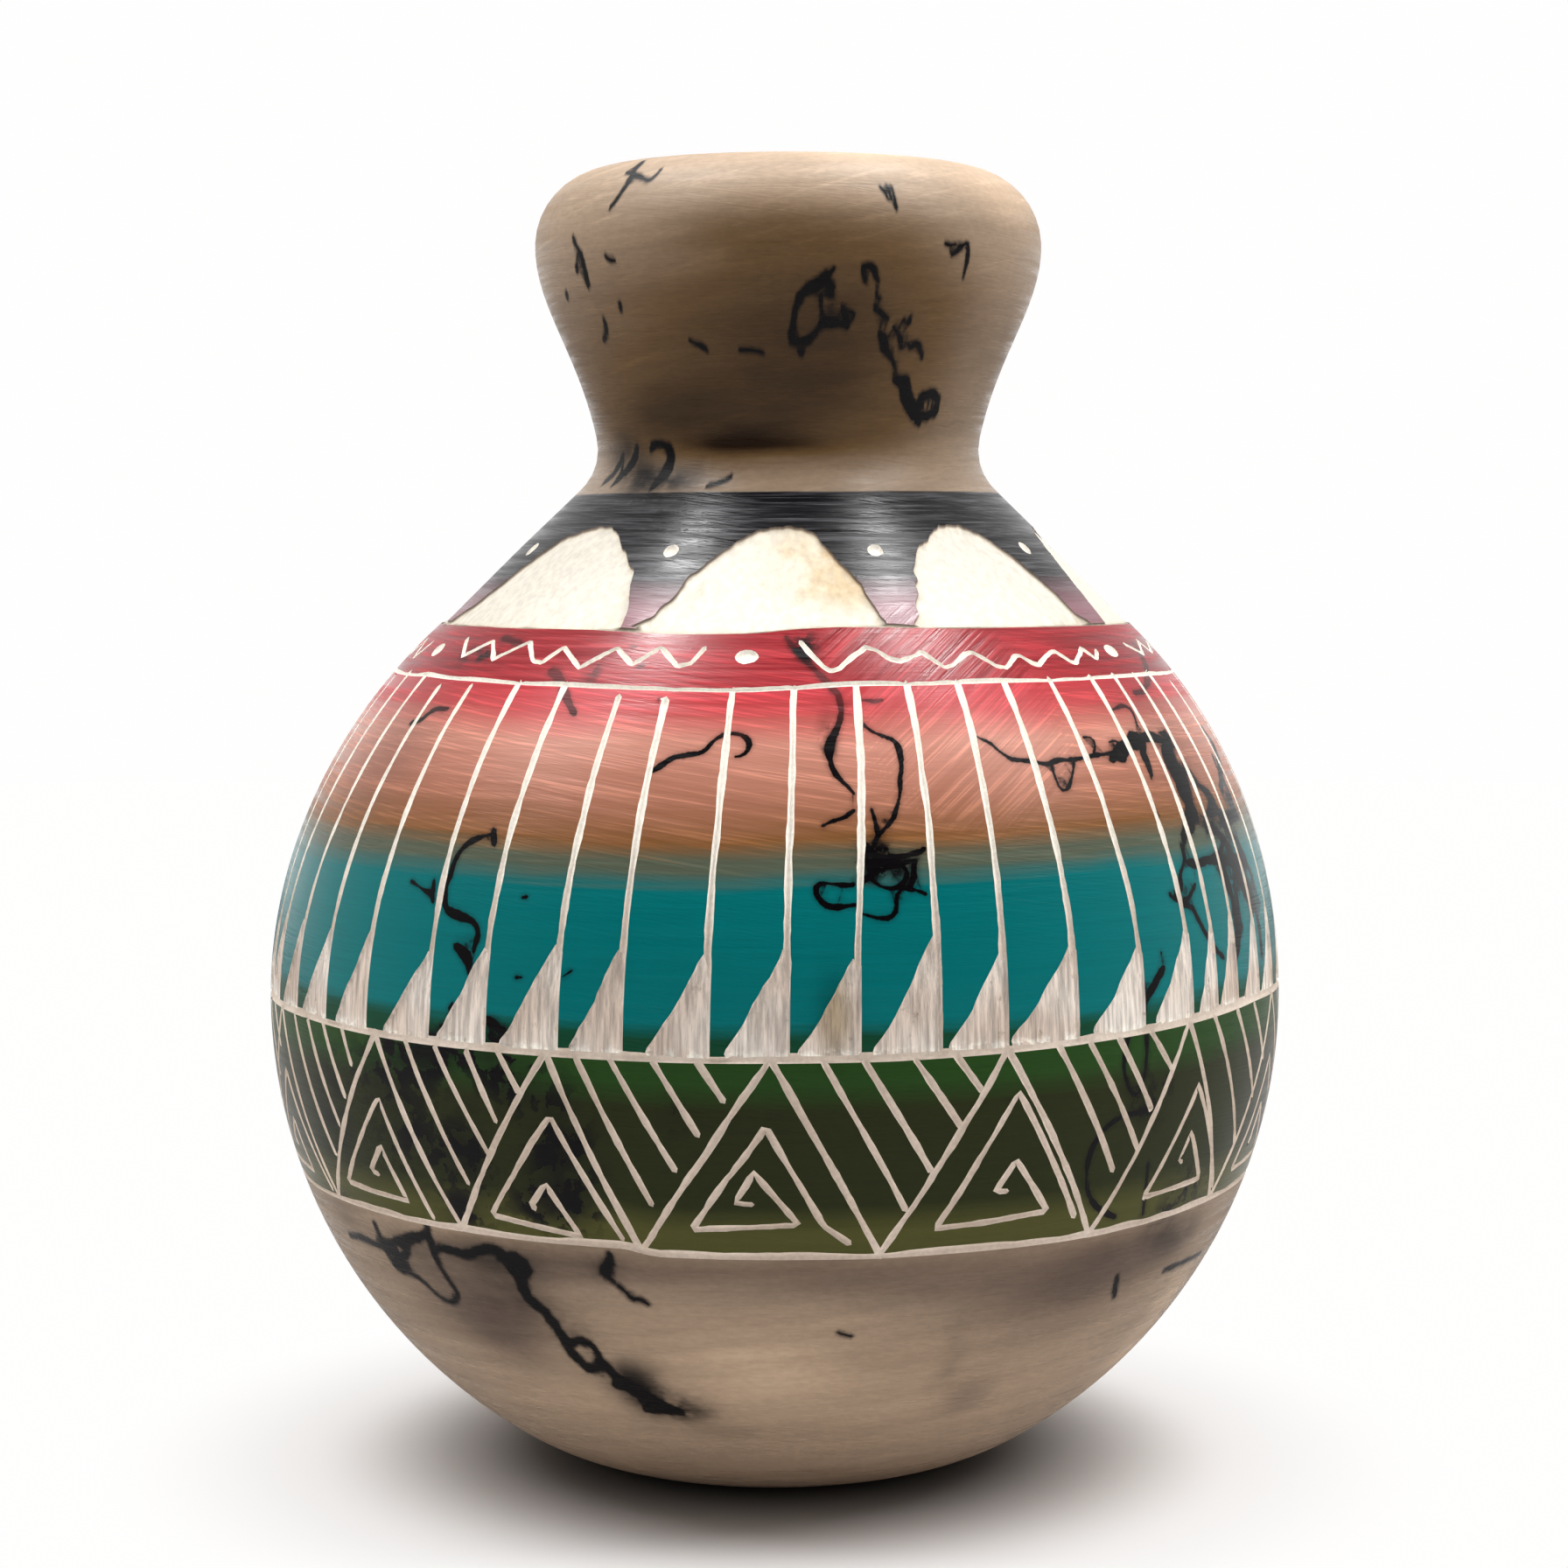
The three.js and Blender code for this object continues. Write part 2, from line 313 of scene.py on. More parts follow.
# Triangles that face the viewer: apex and left foot in degrees, the corners of the fret inside, and
# the hatches to its right as (degrees at the top, degrees at the tip, height of the tip)
FRETS = (
    (-69.5, -82.5,
     ((-61.2, 48.2), (-69.5, 65.0), (-78, 50.6), (-66.5, 49.8),
      (-70, 57.6), (-72.4, 53.6), (-71.2, 53.2)),
     ((-64.5, -57, 54.5), (-60.2, -54.5, 59.5), (-56.4, -52.3, 64), (-52.3, -50.5, 69.2))),
    (-46.0, -59.8,
     ((-40.4, 48.0), (-46.0, 65.0), (-55.6, 50.6), (-44.0, 49.8),
      (-46.8, 57.6), (-49.6, 53.6), (-48.3, 53.2)),
     ((-41.3, -34, 54.2), (-37, -30.8, 59), (-32.8, -29.4, 63.8), (-29, -26.6, 68.5))),
    (-23.4, -36.2,
     ((-16.2, 48.0), (-23.1, 65.3), (-31.6, 49.9), (-21.0, 48.0),
      (-24.3, 55.4), (-26.4, 52.0), (-26.0, 51.6)),
     ((-20.1, -12.6, 53.3), (-16.3, -10, 58.5), (-12, -7.5, 63.5), (-7.5, -5, 68.5))),
    (-0.3, -14.2,
     ((8.0, 47.8), (5.2, 50.5), (-0.8, 64.8), (-8.6, 49.9),
      (2.7, 50.6), (-2.0, 58.3), (-3.9, 53.8), (-2.2, 53.7)),
     ((4.8, 13.8, 52.5), (9, 16.2, 58), (14.2, 19.3, 63.8), (18.3, 21.3, 69))),
    (24.0, 11.4,
     ((34.2, 49.3), (25.4, 68.5), (17.2, 49.4), (30.4, 50.6), (25.7, 58.7), (23.6, 54.3), (25.0, 54.2)),
     ((30, 38.5, 55.5), (34, 41.7, 58.2), (38, 43, 64), (42.3, 46, 69.2))),
    (48.9, 37.0,
     ((59.6, 49.0), (51.2, 66.0), (44.5, 50.3), (55.0, 51.2), (51.0, 59.0), (49.6, 54.8), (50.2, 54.6)),
     ((54, 63, 55), (59.5, 66.4, 61.5), (64.5, 68.9, 67))),
)
# The triangles behind: the fret as (degrees from the apex, share of the band's height), the
# hatches, the band's height, and how uneven they are
FRET_FORM = (
    (9.2, 0.08), (0.4, 0.72), (-7.8, 0.14), (3.6, 0.15), (-0.8, 0.44), (-2.8, 0.28), (-1.4, 0.28),
)
HATCH_FORM = ((5.0, 13.8, 53.2), (9.3, 16.3, 58.3), (14.0, 18.9, 63.8), (18.2, 21.2, 69.0))
FRET_BAND = (46.4, 74.6)
TRIANGLE_FOOT = 12.2  # degrees from the apex to the left foot
TRIANGLE_SPREAD = 0.6
FRET_SPREAD = 0.35
HATCH_SPREAD = 0.3
HATCH_SHORT = 0.5  # how far a hatch may stop short of the ring
FRET_WIDTH = 0.92  # widths of frets and hatches, as shares of the triangles'
HATCH_WIDTH = 0.95

# Burns that face the viewer, traced: (across, down, half width) along each hair, all three in
# pixels of the photograph
HAIRS = (
    ((953, 307, 3), (944, 318, 5), (934, 326, 6), (922, 330, 5), (914, 340, 5), (909, 352, 4.5),
     (907, 366, 4.5), (905, 380, 5), (904, 389, 4.5), (914, 391, 4), (926, 388, 4), (934, 378, 4),
     (938, 368, 4.5), (950, 368, 5.5), (962, 370, 6), (970, 371, 4)),
    ((944, 318, 4), (950, 333, 4.5)),
    ((938, 338, 2), (938, 350, 1.5), (940, 360, 2)),
    ((963, 353, 3), (966, 362, 4), (968, 370, 4)),
    ((971, 356, 1.8), (977, 359, 2), (974, 363, 1.5)),
    ((913, 403, 2.5), (917, 404, 3)),
    ((986, 306, 2.5), (988, 313, 3), (989, 320, 2)),
    ((986, 306, 2), (994, 304, 3), (999, 308, 3.5), (1001, 315, 3), (1004, 322, 2)),
    ((1002, 334, 2), (1002, 341, 2.5), (1006, 341, 1.5)),
    ((1000, 351, 3), (1005, 356, 4), (1010, 361, 3), (1015, 364, 1.5)),
    ((1021, 374, 1.5), (1026, 381, 2), (1029, 387, 3), (1030, 396, 1.5)),
    ((1004, 380, 2), (1008, 387, 4.5), (1011, 395, 4.5), (1015, 404, 3), (1020, 411, 3), (1022, 419, 2),
     (1024, 423, 1.2)),
    ((1032, 366, 1.8), (1034, 366, 1.8)),
    ((1040, 364, 1.8), (1039, 367, 1.8)),
    ((1038, 393, 2.5), (1040, 398, 2), (1046, 392, 2.5), (1051, 396, 2.5), (1052, 402, 3),
     (1054, 408, 2.5)),
    ((1021, 434, 3.5), (1030, 436, 6), (1034, 444, 6.5), (1037, 456, 6), (1042, 466, 5.5),
     (1048, 476, 5), (1051, 483, 3)),
    ((1048, 474, 4), (1050, 462, 4), (1056, 452, 4), (1065, 449, 4), (1071, 455, 3.5), (1071, 464, 4),
     (1066, 472, 4), (1058, 476, 3.5), (1051, 474, 3)),
    ((1088, 291, 1.5), (1096, 284, 3), (1105, 277, 2.5), (1107, 280, 2), (1106, 292, 2), (1101, 316, 1.2)),
    ((1080, 278, 1.3), (1086, 281, 1.8), (1092, 279, 1.3)),
    ((1006, 214, 1.5), (1013, 220, 2), (1014, 225, 1.5)),
    ((1014, 214, 1.5), (1017, 222, 2), (1019, 227, 1.4)),
    ((1019, 214, 1.4), (1022, 226, 1.8), (1024, 237, 1.4)),
    ((697, 238, 1.5), (705, 228, 2), (712, 217, 2), (719, 208, 2), (723, 198, 4), (729, 190, 3),
     (735, 184, 1.8)),
    ((716, 197, 2), (725, 200, 3), (734, 203, 2), (741, 207, 2.2), (747, 203, 1.8), (752, 198, 1.5),
     (755, 194, 1.2)),
    ((655, 273, 2), (659, 281, 2), (663, 291, 2), (666, 297, 3), (667, 305, 2), (670, 314, 3),
     (671, 322, 3.5)),
    ((660, 302, 1.5), (659, 309, 2)),
    ((648, 334, 1.3), (648, 341, 1.5)),
    ((692, 293, 2), (694, 295, 2.2), (697, 297, 1.3), (703, 298, 1.5)),
    ((709, 348, 1.8), (709, 354, 1.3)),
    ((691, 367, 1.8), (693, 375, 2.2), (692, 384, 2), (690, 390, 1.5)),
    ((788, 389, 1.3), (794, 392, 2), (801, 395, 2.3), (808, 400, 2.5)),
    ((845, 400, 1.3), (856, 400, 1.8), (866, 401, 1.5), (873, 404, 1.2)),
    ((744, 512, 2), (752, 506, 2.5), (762, 510, 3), (767, 520, 3.5), (766, 532, 3.5), (760, 542, 3),
     (752, 549, 2.5), (747, 556, 2)),
    ((728, 517, 2), (724, 528, 2.5), (716, 538, 3), (708, 546, 2.5), (702, 552, 1.5)),
    ((690, 552, 1.4), (700, 544, 1.5), (706, 535, 1.5), (712, 524, 1.4)),
    ((808, 556, 1.3), (818, 553, 1.5), (830, 549, 1.5), (836, 544, 1.3)),
    ((898, 728, 3), (905, 738, 5), (916, 750, 4), (928, 762, 4), (940, 775, 3.5), (950, 786, 3.5),
     (956, 790, 3), (960, 800, 4), (962, 815, 4), (958, 830, 4), (953, 840, 4), (948, 850, 4.5),
     (947, 862, 4.5), (950, 875, 4.5), (955, 885, 4), (962, 893, 3.5), (970, 900, 3), (976, 907, 2.5)),
    ((980, 801, 1.5), (990, 800, 2), (1000, 802, 3), (1008, 800, 2)),
    ((980, 822, 2), (988, 829, 2.5), (996, 836, 2.8), (1008, 841, 3), (1020, 845, 3.2),
     (1027, 852, 3.2), (1029, 865, 3), (1031, 878, 3), (1028, 889, 3), (1029, 900, 2.8),
     (1028, 912, 2.5), (1024, 925, 3), (1022, 934, 2.5), (1016, 942, 2), (1008, 950, 2),
     (1001, 959, 2.5), (998, 968, 3)),
    ((744, 882, 2.5), (752, 877, 3.5), (760, 872, 3), (768, 866, 3), (778, 864, 3), (790, 862, 3.5),
     (800, 861, 3), (808, 856, 2.5), (814, 848, 2.5), (822, 842, 2.5), (832, 838, 2.5), (845, 839, 2.8),
     (852, 842, 3.5), (857, 850, 3.5), (855, 858, 3), (848, 864, 2.5), (840, 865, 1.5)),
    ((940, 944, 3), (950, 939, 2.5), (960, 936, 2.5), (968, 933, 2.5), (976, 926, 2)),
    ((996, 925, 2), (999, 935, 3), (1002, 945, 3.5), (1003, 955, 3), (1000, 965, 3)),
    ((986, 965, 4), (994, 972, 5), (1000, 978, 4), (1010, 980, 4), (1020, 981, 4.5), (1032, 979, 4),
     (1042, 976, 4), (1052, 974, 2.5), (1056, 970, 2.5)),
    ((988, 978, 4), (994, 988, 4), (1000, 992, 3.5), (1008, 986, 3), (1016, 990, 4), (1026, 988, 4),
     (1036, 986, 4), (1046, 982, 3)),
    ((984, 1008, 4.5), (992, 1003, 4), (996, 998, 4), (1002, 994, 3)),
    ((996, 1005, 2.5), (1004, 1012, 2.5), (1012, 1015, 2.5), (1022, 1016, 2.8), (1030, 1012, 4),
     (1036, 1005, 4), (1037, 996, 3.5), (1032, 990, 3)),
    ((1040, 1012, 4), (1045, 1003, 3.5), (1044, 992, 3), (1046, 984, 3)),
    ((1030, 1014, 3.5), (1040, 1016, 3.5), (1050, 1018, 2.5), (1058, 1022, 2.5)),
    ((976, 1011, 2.5), (964, 1012, 2.5), (950, 1010, 2.5), (938, 1009, 3), (932, 1014, 3),
     (933, 1023, 3), (938, 1031, 3), (946, 1036, 3), (956, 1037, 3.5), (966, 1036, 3), (977, 1034, 2.5)),
    ((984, 1044, 2.5), (994, 1047, 3), (1006, 1050, 3), (1018, 1049, 3), (1024, 1043, 3.5),
     (1025, 1033, 3), (1024, 1024, 3), (1029, 1018, 2.5)),
    ((1113, 840, 1.8), (1122, 845, 2), (1132, 849, 2.5), (1139, 856, 2.3), (1147, 862, 2.3),
     (1155, 868, 2), (1168, 869, 2), (1180, 870, 2), (1188, 872, 2), (1198, 874, 2.5), (1205, 870, 3),
     (1212, 868, 3), (1220, 869, 2.5), (1228, 868, 3), (1238, 866, 2), (1247, 864, 2), (1255, 862, 2.5),
     (1265, 862, 2), (1272, 860, 1.8)),
    ((1202, 876, 2), (1205, 886, 2), (1209, 896, 2.2), (1213, 904, 3), (1220, 902, 2.2), (1225, 890, 2),
     (1227, 878, 2), (1227, 870, 2)),
    ((1250, 861, 1.5), (1252, 853, 1.5), (1250, 845, 1.8), (1244, 842, 1.8), (1238, 843, 2)),
    ((1276, 862, 6), (1284, 856, 7), (1290, 848, 5)),
    ((1278, 868, 4), (1284, 866, 5)),
    ((1268, 848, 1.5), (1274, 846, 1.8), (1280, 850, 1.5)),
    ((1292, 840, 4), (1299, 842, 6), (1305, 850, 6), (1304, 862, 3), (1310, 872, 2.5), (1314, 884, 2),
     (1316, 890, 1.2)),
    ((1326, 838, 3), (1334, 842, 6), (1332, 856, 5.5), (1336, 870, 6), (1342, 884, 7), (1348, 898, 7),
     (1356, 912, 7), (1364, 926, 6), (1368, 936, 4)),
    ((1354, 880, 3), (1362, 886, 2.5), (1370, 898, 3), (1380, 906, 4), (1386, 914, 4.5),
     (1382, 926, 3.5), (1376, 940, 3), (1380, 952, 2)),
    ((1382, 930, 3), (1392, 924, 3), (1400, 932, 2), (1406, 926, 2), (1412, 934, 2.5)),
    ((1384, 940, 2), (1392, 950, 3), (1398, 960, 3), (1396, 972, 2), (1388, 982, 2)),
    ((1356, 942, 2), (1354, 956, 2.5), (1352, 970, 2), (1354, 984, 2), (1348, 1000, 3),
     (1350, 1012, 4.5), (1344, 1022, 4), (1350, 1032, 4), (1358, 1034, 2.5)),
    ((1358, 984, 2), (1370, 985, 2.2), (1382, 986, 2.5), (1392, 984, 3), (1402, 982, 2), (1412, 986, 2)),
    ((1337, 1022, 3), (1344, 1030, 3), (1356, 1030, 3), (1362, 1020, 2.2), (1366, 1010, 1.6)),
    ((1362, 1036, 2), (1368, 1048, 2.2), (1374, 1060, 2.2), (1382, 1074, 2.2), (1390, 1086, 2.5),
     (1398, 1094, 2.5)),
    ((1404, 984, 2.5), (1412, 996, 3), (1410, 1010, 2.5), (1414, 1026, 2), (1416, 1044, 2),
     (1420, 1060, 2)),
    ((1396, 940, 2), (1404, 950, 2.5), (1412, 958, 2.5), (1418, 970, 2.2), (1424, 984, 2.2),
     (1430, 1000, 2), (1434, 1016, 1.6), (1440, 1034, 1.4)),
    ((1386, 864, 1.6), (1390, 876, 1.6), (1398, 890, 2), (1404, 904, 2), (1410, 920, 2), (1416, 936, 2)),
    ((1418, 905, 1.6), (1424, 922, 1.6), (1430, 942, 1.6), (1434, 960, 1.5)),
    ((1320, 925, 1.5), (1324, 933, 2)),
    ((1330, 1106, 3), (1326, 1112, 4), (1320, 1124, 5), (1314, 1134, 4), (1310, 1142, 3)),
    ((1307, 1122, 1.5), (1308, 1140, 2.5), (1308, 1156, 3)),
    ((1327, 1088, 2), (1327, 1090, 2)),
    ((540, 1432, 2), (552, 1427, 2.5), (563, 1426, 3.5), (572, 1431, 4), (580, 1441, 5),
     (588, 1453, 4.5), (594, 1462, 4), (598, 1472, 4), (602, 1482, 4), (610, 1490, 4.5),
     (620, 1496, 4.5), (627, 1505, 5), (635, 1516, 5.5), (643, 1527, 5), (648, 1538, 6), (655, 1549, 5),
     (663, 1556, 4.5), (672, 1562, 4), (680, 1562, 3.5), (690, 1562, 4), (698, 1567, 4),
     (706, 1575, 4.5), (718, 1584, 6), (728, 1590, 7), (738, 1597, 8), (748, 1603, 8), (758, 1606, 6),
     (768, 1610, 5), (778, 1615, 2)),
    ((500, 1427, 2), (510, 1428, 2), (520, 1430, 2), (530, 1434, 2.2), (540, 1433, 2.5)),
    ((588, 1434, 2), (596, 1440, 2.5), (602, 1447, 2.5), (605, 1454, 2), (600, 1459, 1.5)),
    ((650, 1537, 2.5), (658, 1533, 2.5), (666, 1531, 2.5), (674, 1535, 2.5), (680, 1541, 2.5),
     (684, 1549, 2.5), (690, 1557, 2.5), (695, 1563, 3)),
    ((663, 1556, 2.5), (670, 1564, 3), (677, 1567, 2.5)),
    ((704, 1583, 3), (712, 1584, 3)),
    ((740, 1611, 3), (748, 1611, 3.5), (760, 1612, 3)),
    ((488, 1400, 3), (490, 1412, 3), (494, 1424, 2), (497, 1436, 1.8), (503, 1448, 1.8),
     (511, 1460, 1.8), (519, 1471, 2), (524, 1480, 2), (521, 1487, 2), (512, 1488, 1.5),
     (502, 1482, 1.3), (492, 1472, 1.3), (480, 1461, 1.3), (470, 1455, 1.5), (461, 1452, 2)),
    ((461, 1452, 3), (452, 1448, 3), (448, 1438, 2.5), (440, 1428, 2), (434, 1412, 2), (428, 1398, 2)),
    ((440, 1428, 2), (450, 1420, 2.5), (462, 1416, 3), (474, 1414, 3), (484, 1412, 3.5)),
    ((400, 1412, 1.3), (410, 1413, 1.5), (420, 1417, 1.5), (434, 1424, 2)),
    ((455, 1440, 3.5), (463, 1436, 3), (466, 1424, 2)),
    ((696, 1432, 1.5), (698, 1442, 2.5), (693, 1448, 4.5), (691, 1456, 3)),
    ((706, 1469, 1.3), (713, 1474, 2), (718, 1480, 3.5), (722, 1485, 4), (730, 1484, 2.5),
     (736, 1487, 2.5), (741, 1491, 1.5)),
    ((957, 1523, 1.3), (964, 1525, 2), (973, 1527, 1.5)),
    ((1270, 868, 4), (1281, 862, 6), (1290, 852, 6), (1303, 844, 6), (1316, 841, 5), (1328, 846, 4),
     (1340, 852, 3)),
    ((1302, 850, 4), (1308, 862, 4), (1313, 874, 3), (1316, 885, 2)),
    ((1333, 840, 4), (1340, 868, 5), (1352, 890, 6), (1358, 910, 7), (1361, 935, 7), (1352, 958, 5)),
    ((1270, 812, 2), (1284, 805, 2), (1294, 812, 2), (1300, 830, 2)),
    ((1298, 738, 3), (1306, 752, 4), (1312, 768, 3), (1308, 790, 3), (1296, 792, 3)),
    ((1382, 910, 4), (1396, 938, 5), (1413, 931, 6), (1404, 912, 4)),
    ((1382, 945, 4), (1400, 958, 4), (1410, 990, 6), (1424, 1020, 5), (1430, 1036, 4)),
    ((1350, 966, 3), (1358, 994, 3), (1382, 980, 4), (1406, 984, 6), (1424, 986, 5)),
    ((1396, 994, 5), (1410, 1029, 5), (1416, 1078, 5), (1408, 1106, 4)),
    ((1424, 1008, 4), (1438, 1050, 4), (1442, 1092, 3)),
    ((1375, 833, 2), (1389, 854, 3), (1396, 903, 3)),
    ((770, 638, 2), (776, 634, 3), (786, 637, 4.5), (796, 640, 5), (806, 639, 3), (812, 641, 1)),
    ((564, 949, 4), (565, 965, 4)),
    ((560, 954, 3), (546, 958, 3), (535, 963, 3), (527, 971, 3.5), (521, 981, 3.5), (517, 992, 3),
     (514, 1003, 3), (509, 1014, 3.5), (508, 1034, 3.5), (513, 1042, 4), (525, 1047, 4), (538, 1051, 4),
     (545, 1058, 4), (547, 1069, 4), (543, 1078, 4), (541, 1088, 4)),
    ((470, 1007, 1.5), (477, 1012, 2), (485, 1018, 2.5), (493, 1020, 3), (495, 1030, 2)),
    ((496, 1006, 1.5), (495, 1016, 2.5), (494, 1026, 3)),
    ((521, 1081, 4), (528, 1087, 5), (535, 1095, 5.5), (536, 1105, 3.5), (536, 1113, 1.5)),
    ((597, 1026, 1.5), (602, 1025, 1.8)),
    ((590, 1117, 2), (596, 1117, 1.5)),
    ((643, 1116, 1), (654, 1109, 1)),
    ((517, 1146, 2), (514, 1153, 3.5)),
    ((503, 1173, 1.5), (512, 1168, 2)),
    ((558, 1166, 4), (565, 1172, 5), (576, 1178, 4.5)),
    ((560, 1186, 2), (566, 1189, 2.5), (574, 1186, 2)),
    ((1290, 1184, 3), (1285, 1205, 2.5), (1284, 1222, 2), (1289, 1242, 2), (1297, 1255, 2),
     (1305, 1243, 2), (1309, 1222, 2), (1311, 1200, 2.5), (1310, 1180, 2.5)),
    ((1322, 1266, 2.5), (1300, 1271, 3), (1278, 1277, 3.5), (1262, 1290, 3), (1250, 1308, 3),
     (1243, 1326, 3), (1241, 1347, 3), (1244, 1368, 3), (1256, 1383, 3.5), (1274, 1391, 3)),
    ((1312, 1330, 2), (1309, 1360, 2), (1306, 1388, 2)),
    ((1277, 1458, 2.5), (1274, 1470, 3.5), (1274, 1482, 2.5)),
    ((1330, 1452, 2), (1350, 1443, 2), (1372, 1432, 1.5)),
    ((629, 767, 4), (636, 770, 4.5), (641, 779, 4)),
    ((643, 788, 4), (648, 798, 4.5), (652, 808, 4.5), (657, 816, 3)),
    ((470, 826, 3), (480, 824, 3.5), (488, 817, 2.5), (497, 810, 2.5), (512, 810, 2.5)),
    ((548, 752, 3), (558, 749, 3)),
    ((575, 729, 3), (585, 732, 3.5), (596, 737, 3)),
    ((720, 739, 1.2), (727, 739, 1.2)),
    ((729, 762, 2.5), (735, 761, 2.5)),
    ((753, 799, 1.5), (753, 801, 1.5)),
)
BASE_HAIR = 0.8  # share of their width that the hairs under the low band keep, as their soot spreads
NARROWING = 0.6  # power of the cosine by which a hair looks narrower towards the sides
HAIR_STEP = 0.8
HAIR_SWELL = 0.22
THINNEST_HAIR = 0.14
# The hairs behind, laid by chance: how many, where, how long and how thick
CHANCE_HAIRS = 64
CHANCE_TURNS = (86, 266)
CHANCE_HEIGHTS = ((160, 194), (82, 122), (82, 122), (20, 44), (48, 74))
CHANCE_REACH = (8, 34)
CHANCE_HALF = (0.3, 0.6)
CHANCE_STEPS = (14, 34)
CHANCE_WANDER = 0.28
CHANCE_CURLS = (0.0, 0.0, 0.16, -0.16)
CHANCE_SWELL = 0.2
THINNEST_CHANCE_HAIR = 0.16

# Soft clouds of smoke: (degrees, height, half width, half height in millimetres, darkness)
CLOUDS = (
    (-14, 20.5, 6, 2.6, 1.1), (-19, 25, 5.5, 4, 0.9), (-25, 32, 4, 4, 0.5), (-31, 38, 7, 5, 0.45),
    (-33, 43.5, 10, 2.5, 0.6), (-48, 42, 9, 4, 0.5), (-60, 43, 8, 5, 0.4), (-19, 43.5, 3, 2, 0.5),
    (-40, 34, 12, 7, 0.16), (-12, 43, 8, 3, 0.2), (55, 42, 8, 5, 0.5), (49, 45, 5, 3, 0.5),
    (40, 43, 6, 3, 0.3), (23, 26, 2.2, 6, 0.35), (22, 33, 1.6, 4, 0.22), (-3, 16, 22, 2.5, 0.3),
    (-38, 153.5, 7, 2.6, 0.9), (-57, 158.5, 7, 4, 0.7), (-46, 155, 5, 3, 0.3),
    (-24, 155, 5, 3, 0.3), (-21, 146, 4, 3, 0.4), (64, 96, 7, 8, 0.3), (58, 110, 4, 7, 0.25),
    (-28, 148.5, 3, 3, 0.5), (-22, 60, 5, 9, 0.75), (-34, 58, 5, 5, 0.7), (-42, 60, 7, 6, 0.5),
    (-44, 69, 11, 4, 0.5), (-56, 62, 7, 9, 0.4), (-24, 52, 7, 3, 0.6), (-28, 71, 5, 5, 0.7),
    (-38, 73, 9, 3, 0.8), (-10, 66, 3, 3, 0.3), (-36, 50, 5, 2.5, 0.6), (44, 66, 5, 6, 0.35),
    (53, 51, 6, 3, 0.45), (-52, 128, 6, 1.8, 0.35), (3, 130, 2.2, 2.2, 0.5),
    (-27, 126, 1.5, 2, 0.4), (5.5, 118, 1.8, 5, 0.25), (11, 101, 4, 2.5, 0.5),
    (110, 40, 16, 8, 0.5), (150, 30, 12, 9, 0.4), (205, 36, 18, 7, 0.45), (250, 28, 10, 10, 0.5),
    (120, 165, 12, 8, 0.4), (200, 175, 14, 9, 0.35), (260, 160, 10, 6, 0.4), (170, 95, 10, 8, 0.25),
    (230, 105, 9, 9, 0.25),
)
# Places where the fire browned the clay, and painted light and shade: (degrees, height, half width,
# half height, strength). A negative strength is painted light: lighter clay towards the rim, on the
# right of neck and base and in the base's middle. The blots on the belly near 112 to 117 mm are
# painted shade on the slip round its sides. The thin blots just above the crease darken it.
FUMES_AND_PAINTED_LIGHT = (
    (0, 174, 38, 13, 0.26), (-6, 172, 20, 15, 0.34), (-12, 163, 14, 6, 0.14),
    (20, 182, 14, 9, 0.26), (8, 188, 22, 6, 0.22), (-40, 163, 13, 6, 0.3), (26, 164, 14, 5, 0.12),
    (-8, 160, 7, 1.1, 0.6), (-20, 159, 6, 1.3, 0.3), (5, 159.4, 6, 1.1, 0.2),
    (34, 172, 13, 14, 0.2), (8, 141, 10, 6, 0.6), (-2, 28, 15, 7, -0.3), (64, 27, 8, 14, -0.5),
    (62, 198, 14, 8, -0.4), (20, 203, 10, 4, -0.3), (-36, 30, 8, 6, 0.2), (28, 21, 5, 4, 0.3),
    (54, 168, 14, 10, -0.15), (-32, 163, 18, 7, 0.12), (22, 164, 20, 7, 0.1),
    (-46, 176, 14, 14, 0.1), (-57, 116, 15, 14, 0.5), (58, 117, 14, 14, 0.5),
    (114, 112, 20, 14, 0.3), (220, 112, 26, 14, 0.3), (-8, 192, 16, 5, 0.14), (6, 80, 3, 7, 0.8),
    (180, 172, 70, 14, 0.5), (140, 166, 22, 10, 0.35), (220, 168, 22, 11, 0.35),
    (-22, 43.5, 24, 3.5, 0.32), (8, 43, 30, 5, 0.36), (48, 42, 22, 5, 0.36), (34, 36, 22, 7, 0.32),
    (-38, 35, 17, 8, 0.42), (100, 40, 40, 8, 0.35), (180, 40, 40, 8, 0.3), (240, 38, 30, 10, 0.35),
)
# Where the brush went up to the right: (degrees, height, half width, half height, strength)
SLANTS = ((24, 117, 16, 12, 1.0), (18, 129, 12, 6, 0.9), (150, 118, 18, 10, 0.8), (255, 112, 16, 11, 0.8))
# Where the brush went down to the right
DIPS = ((-10, 109, 22, 9, 1.0), (110, 110, 20, 9, 0.9), (205, 112, 24, 9, 0.9))
STAINS_AND_PAINTED_LIGHT = {"smoke": CLOUDS, "fume": FUMES_AND_PAINTED_LIGHT, "slant": SLANTS, "dip": DIPS}

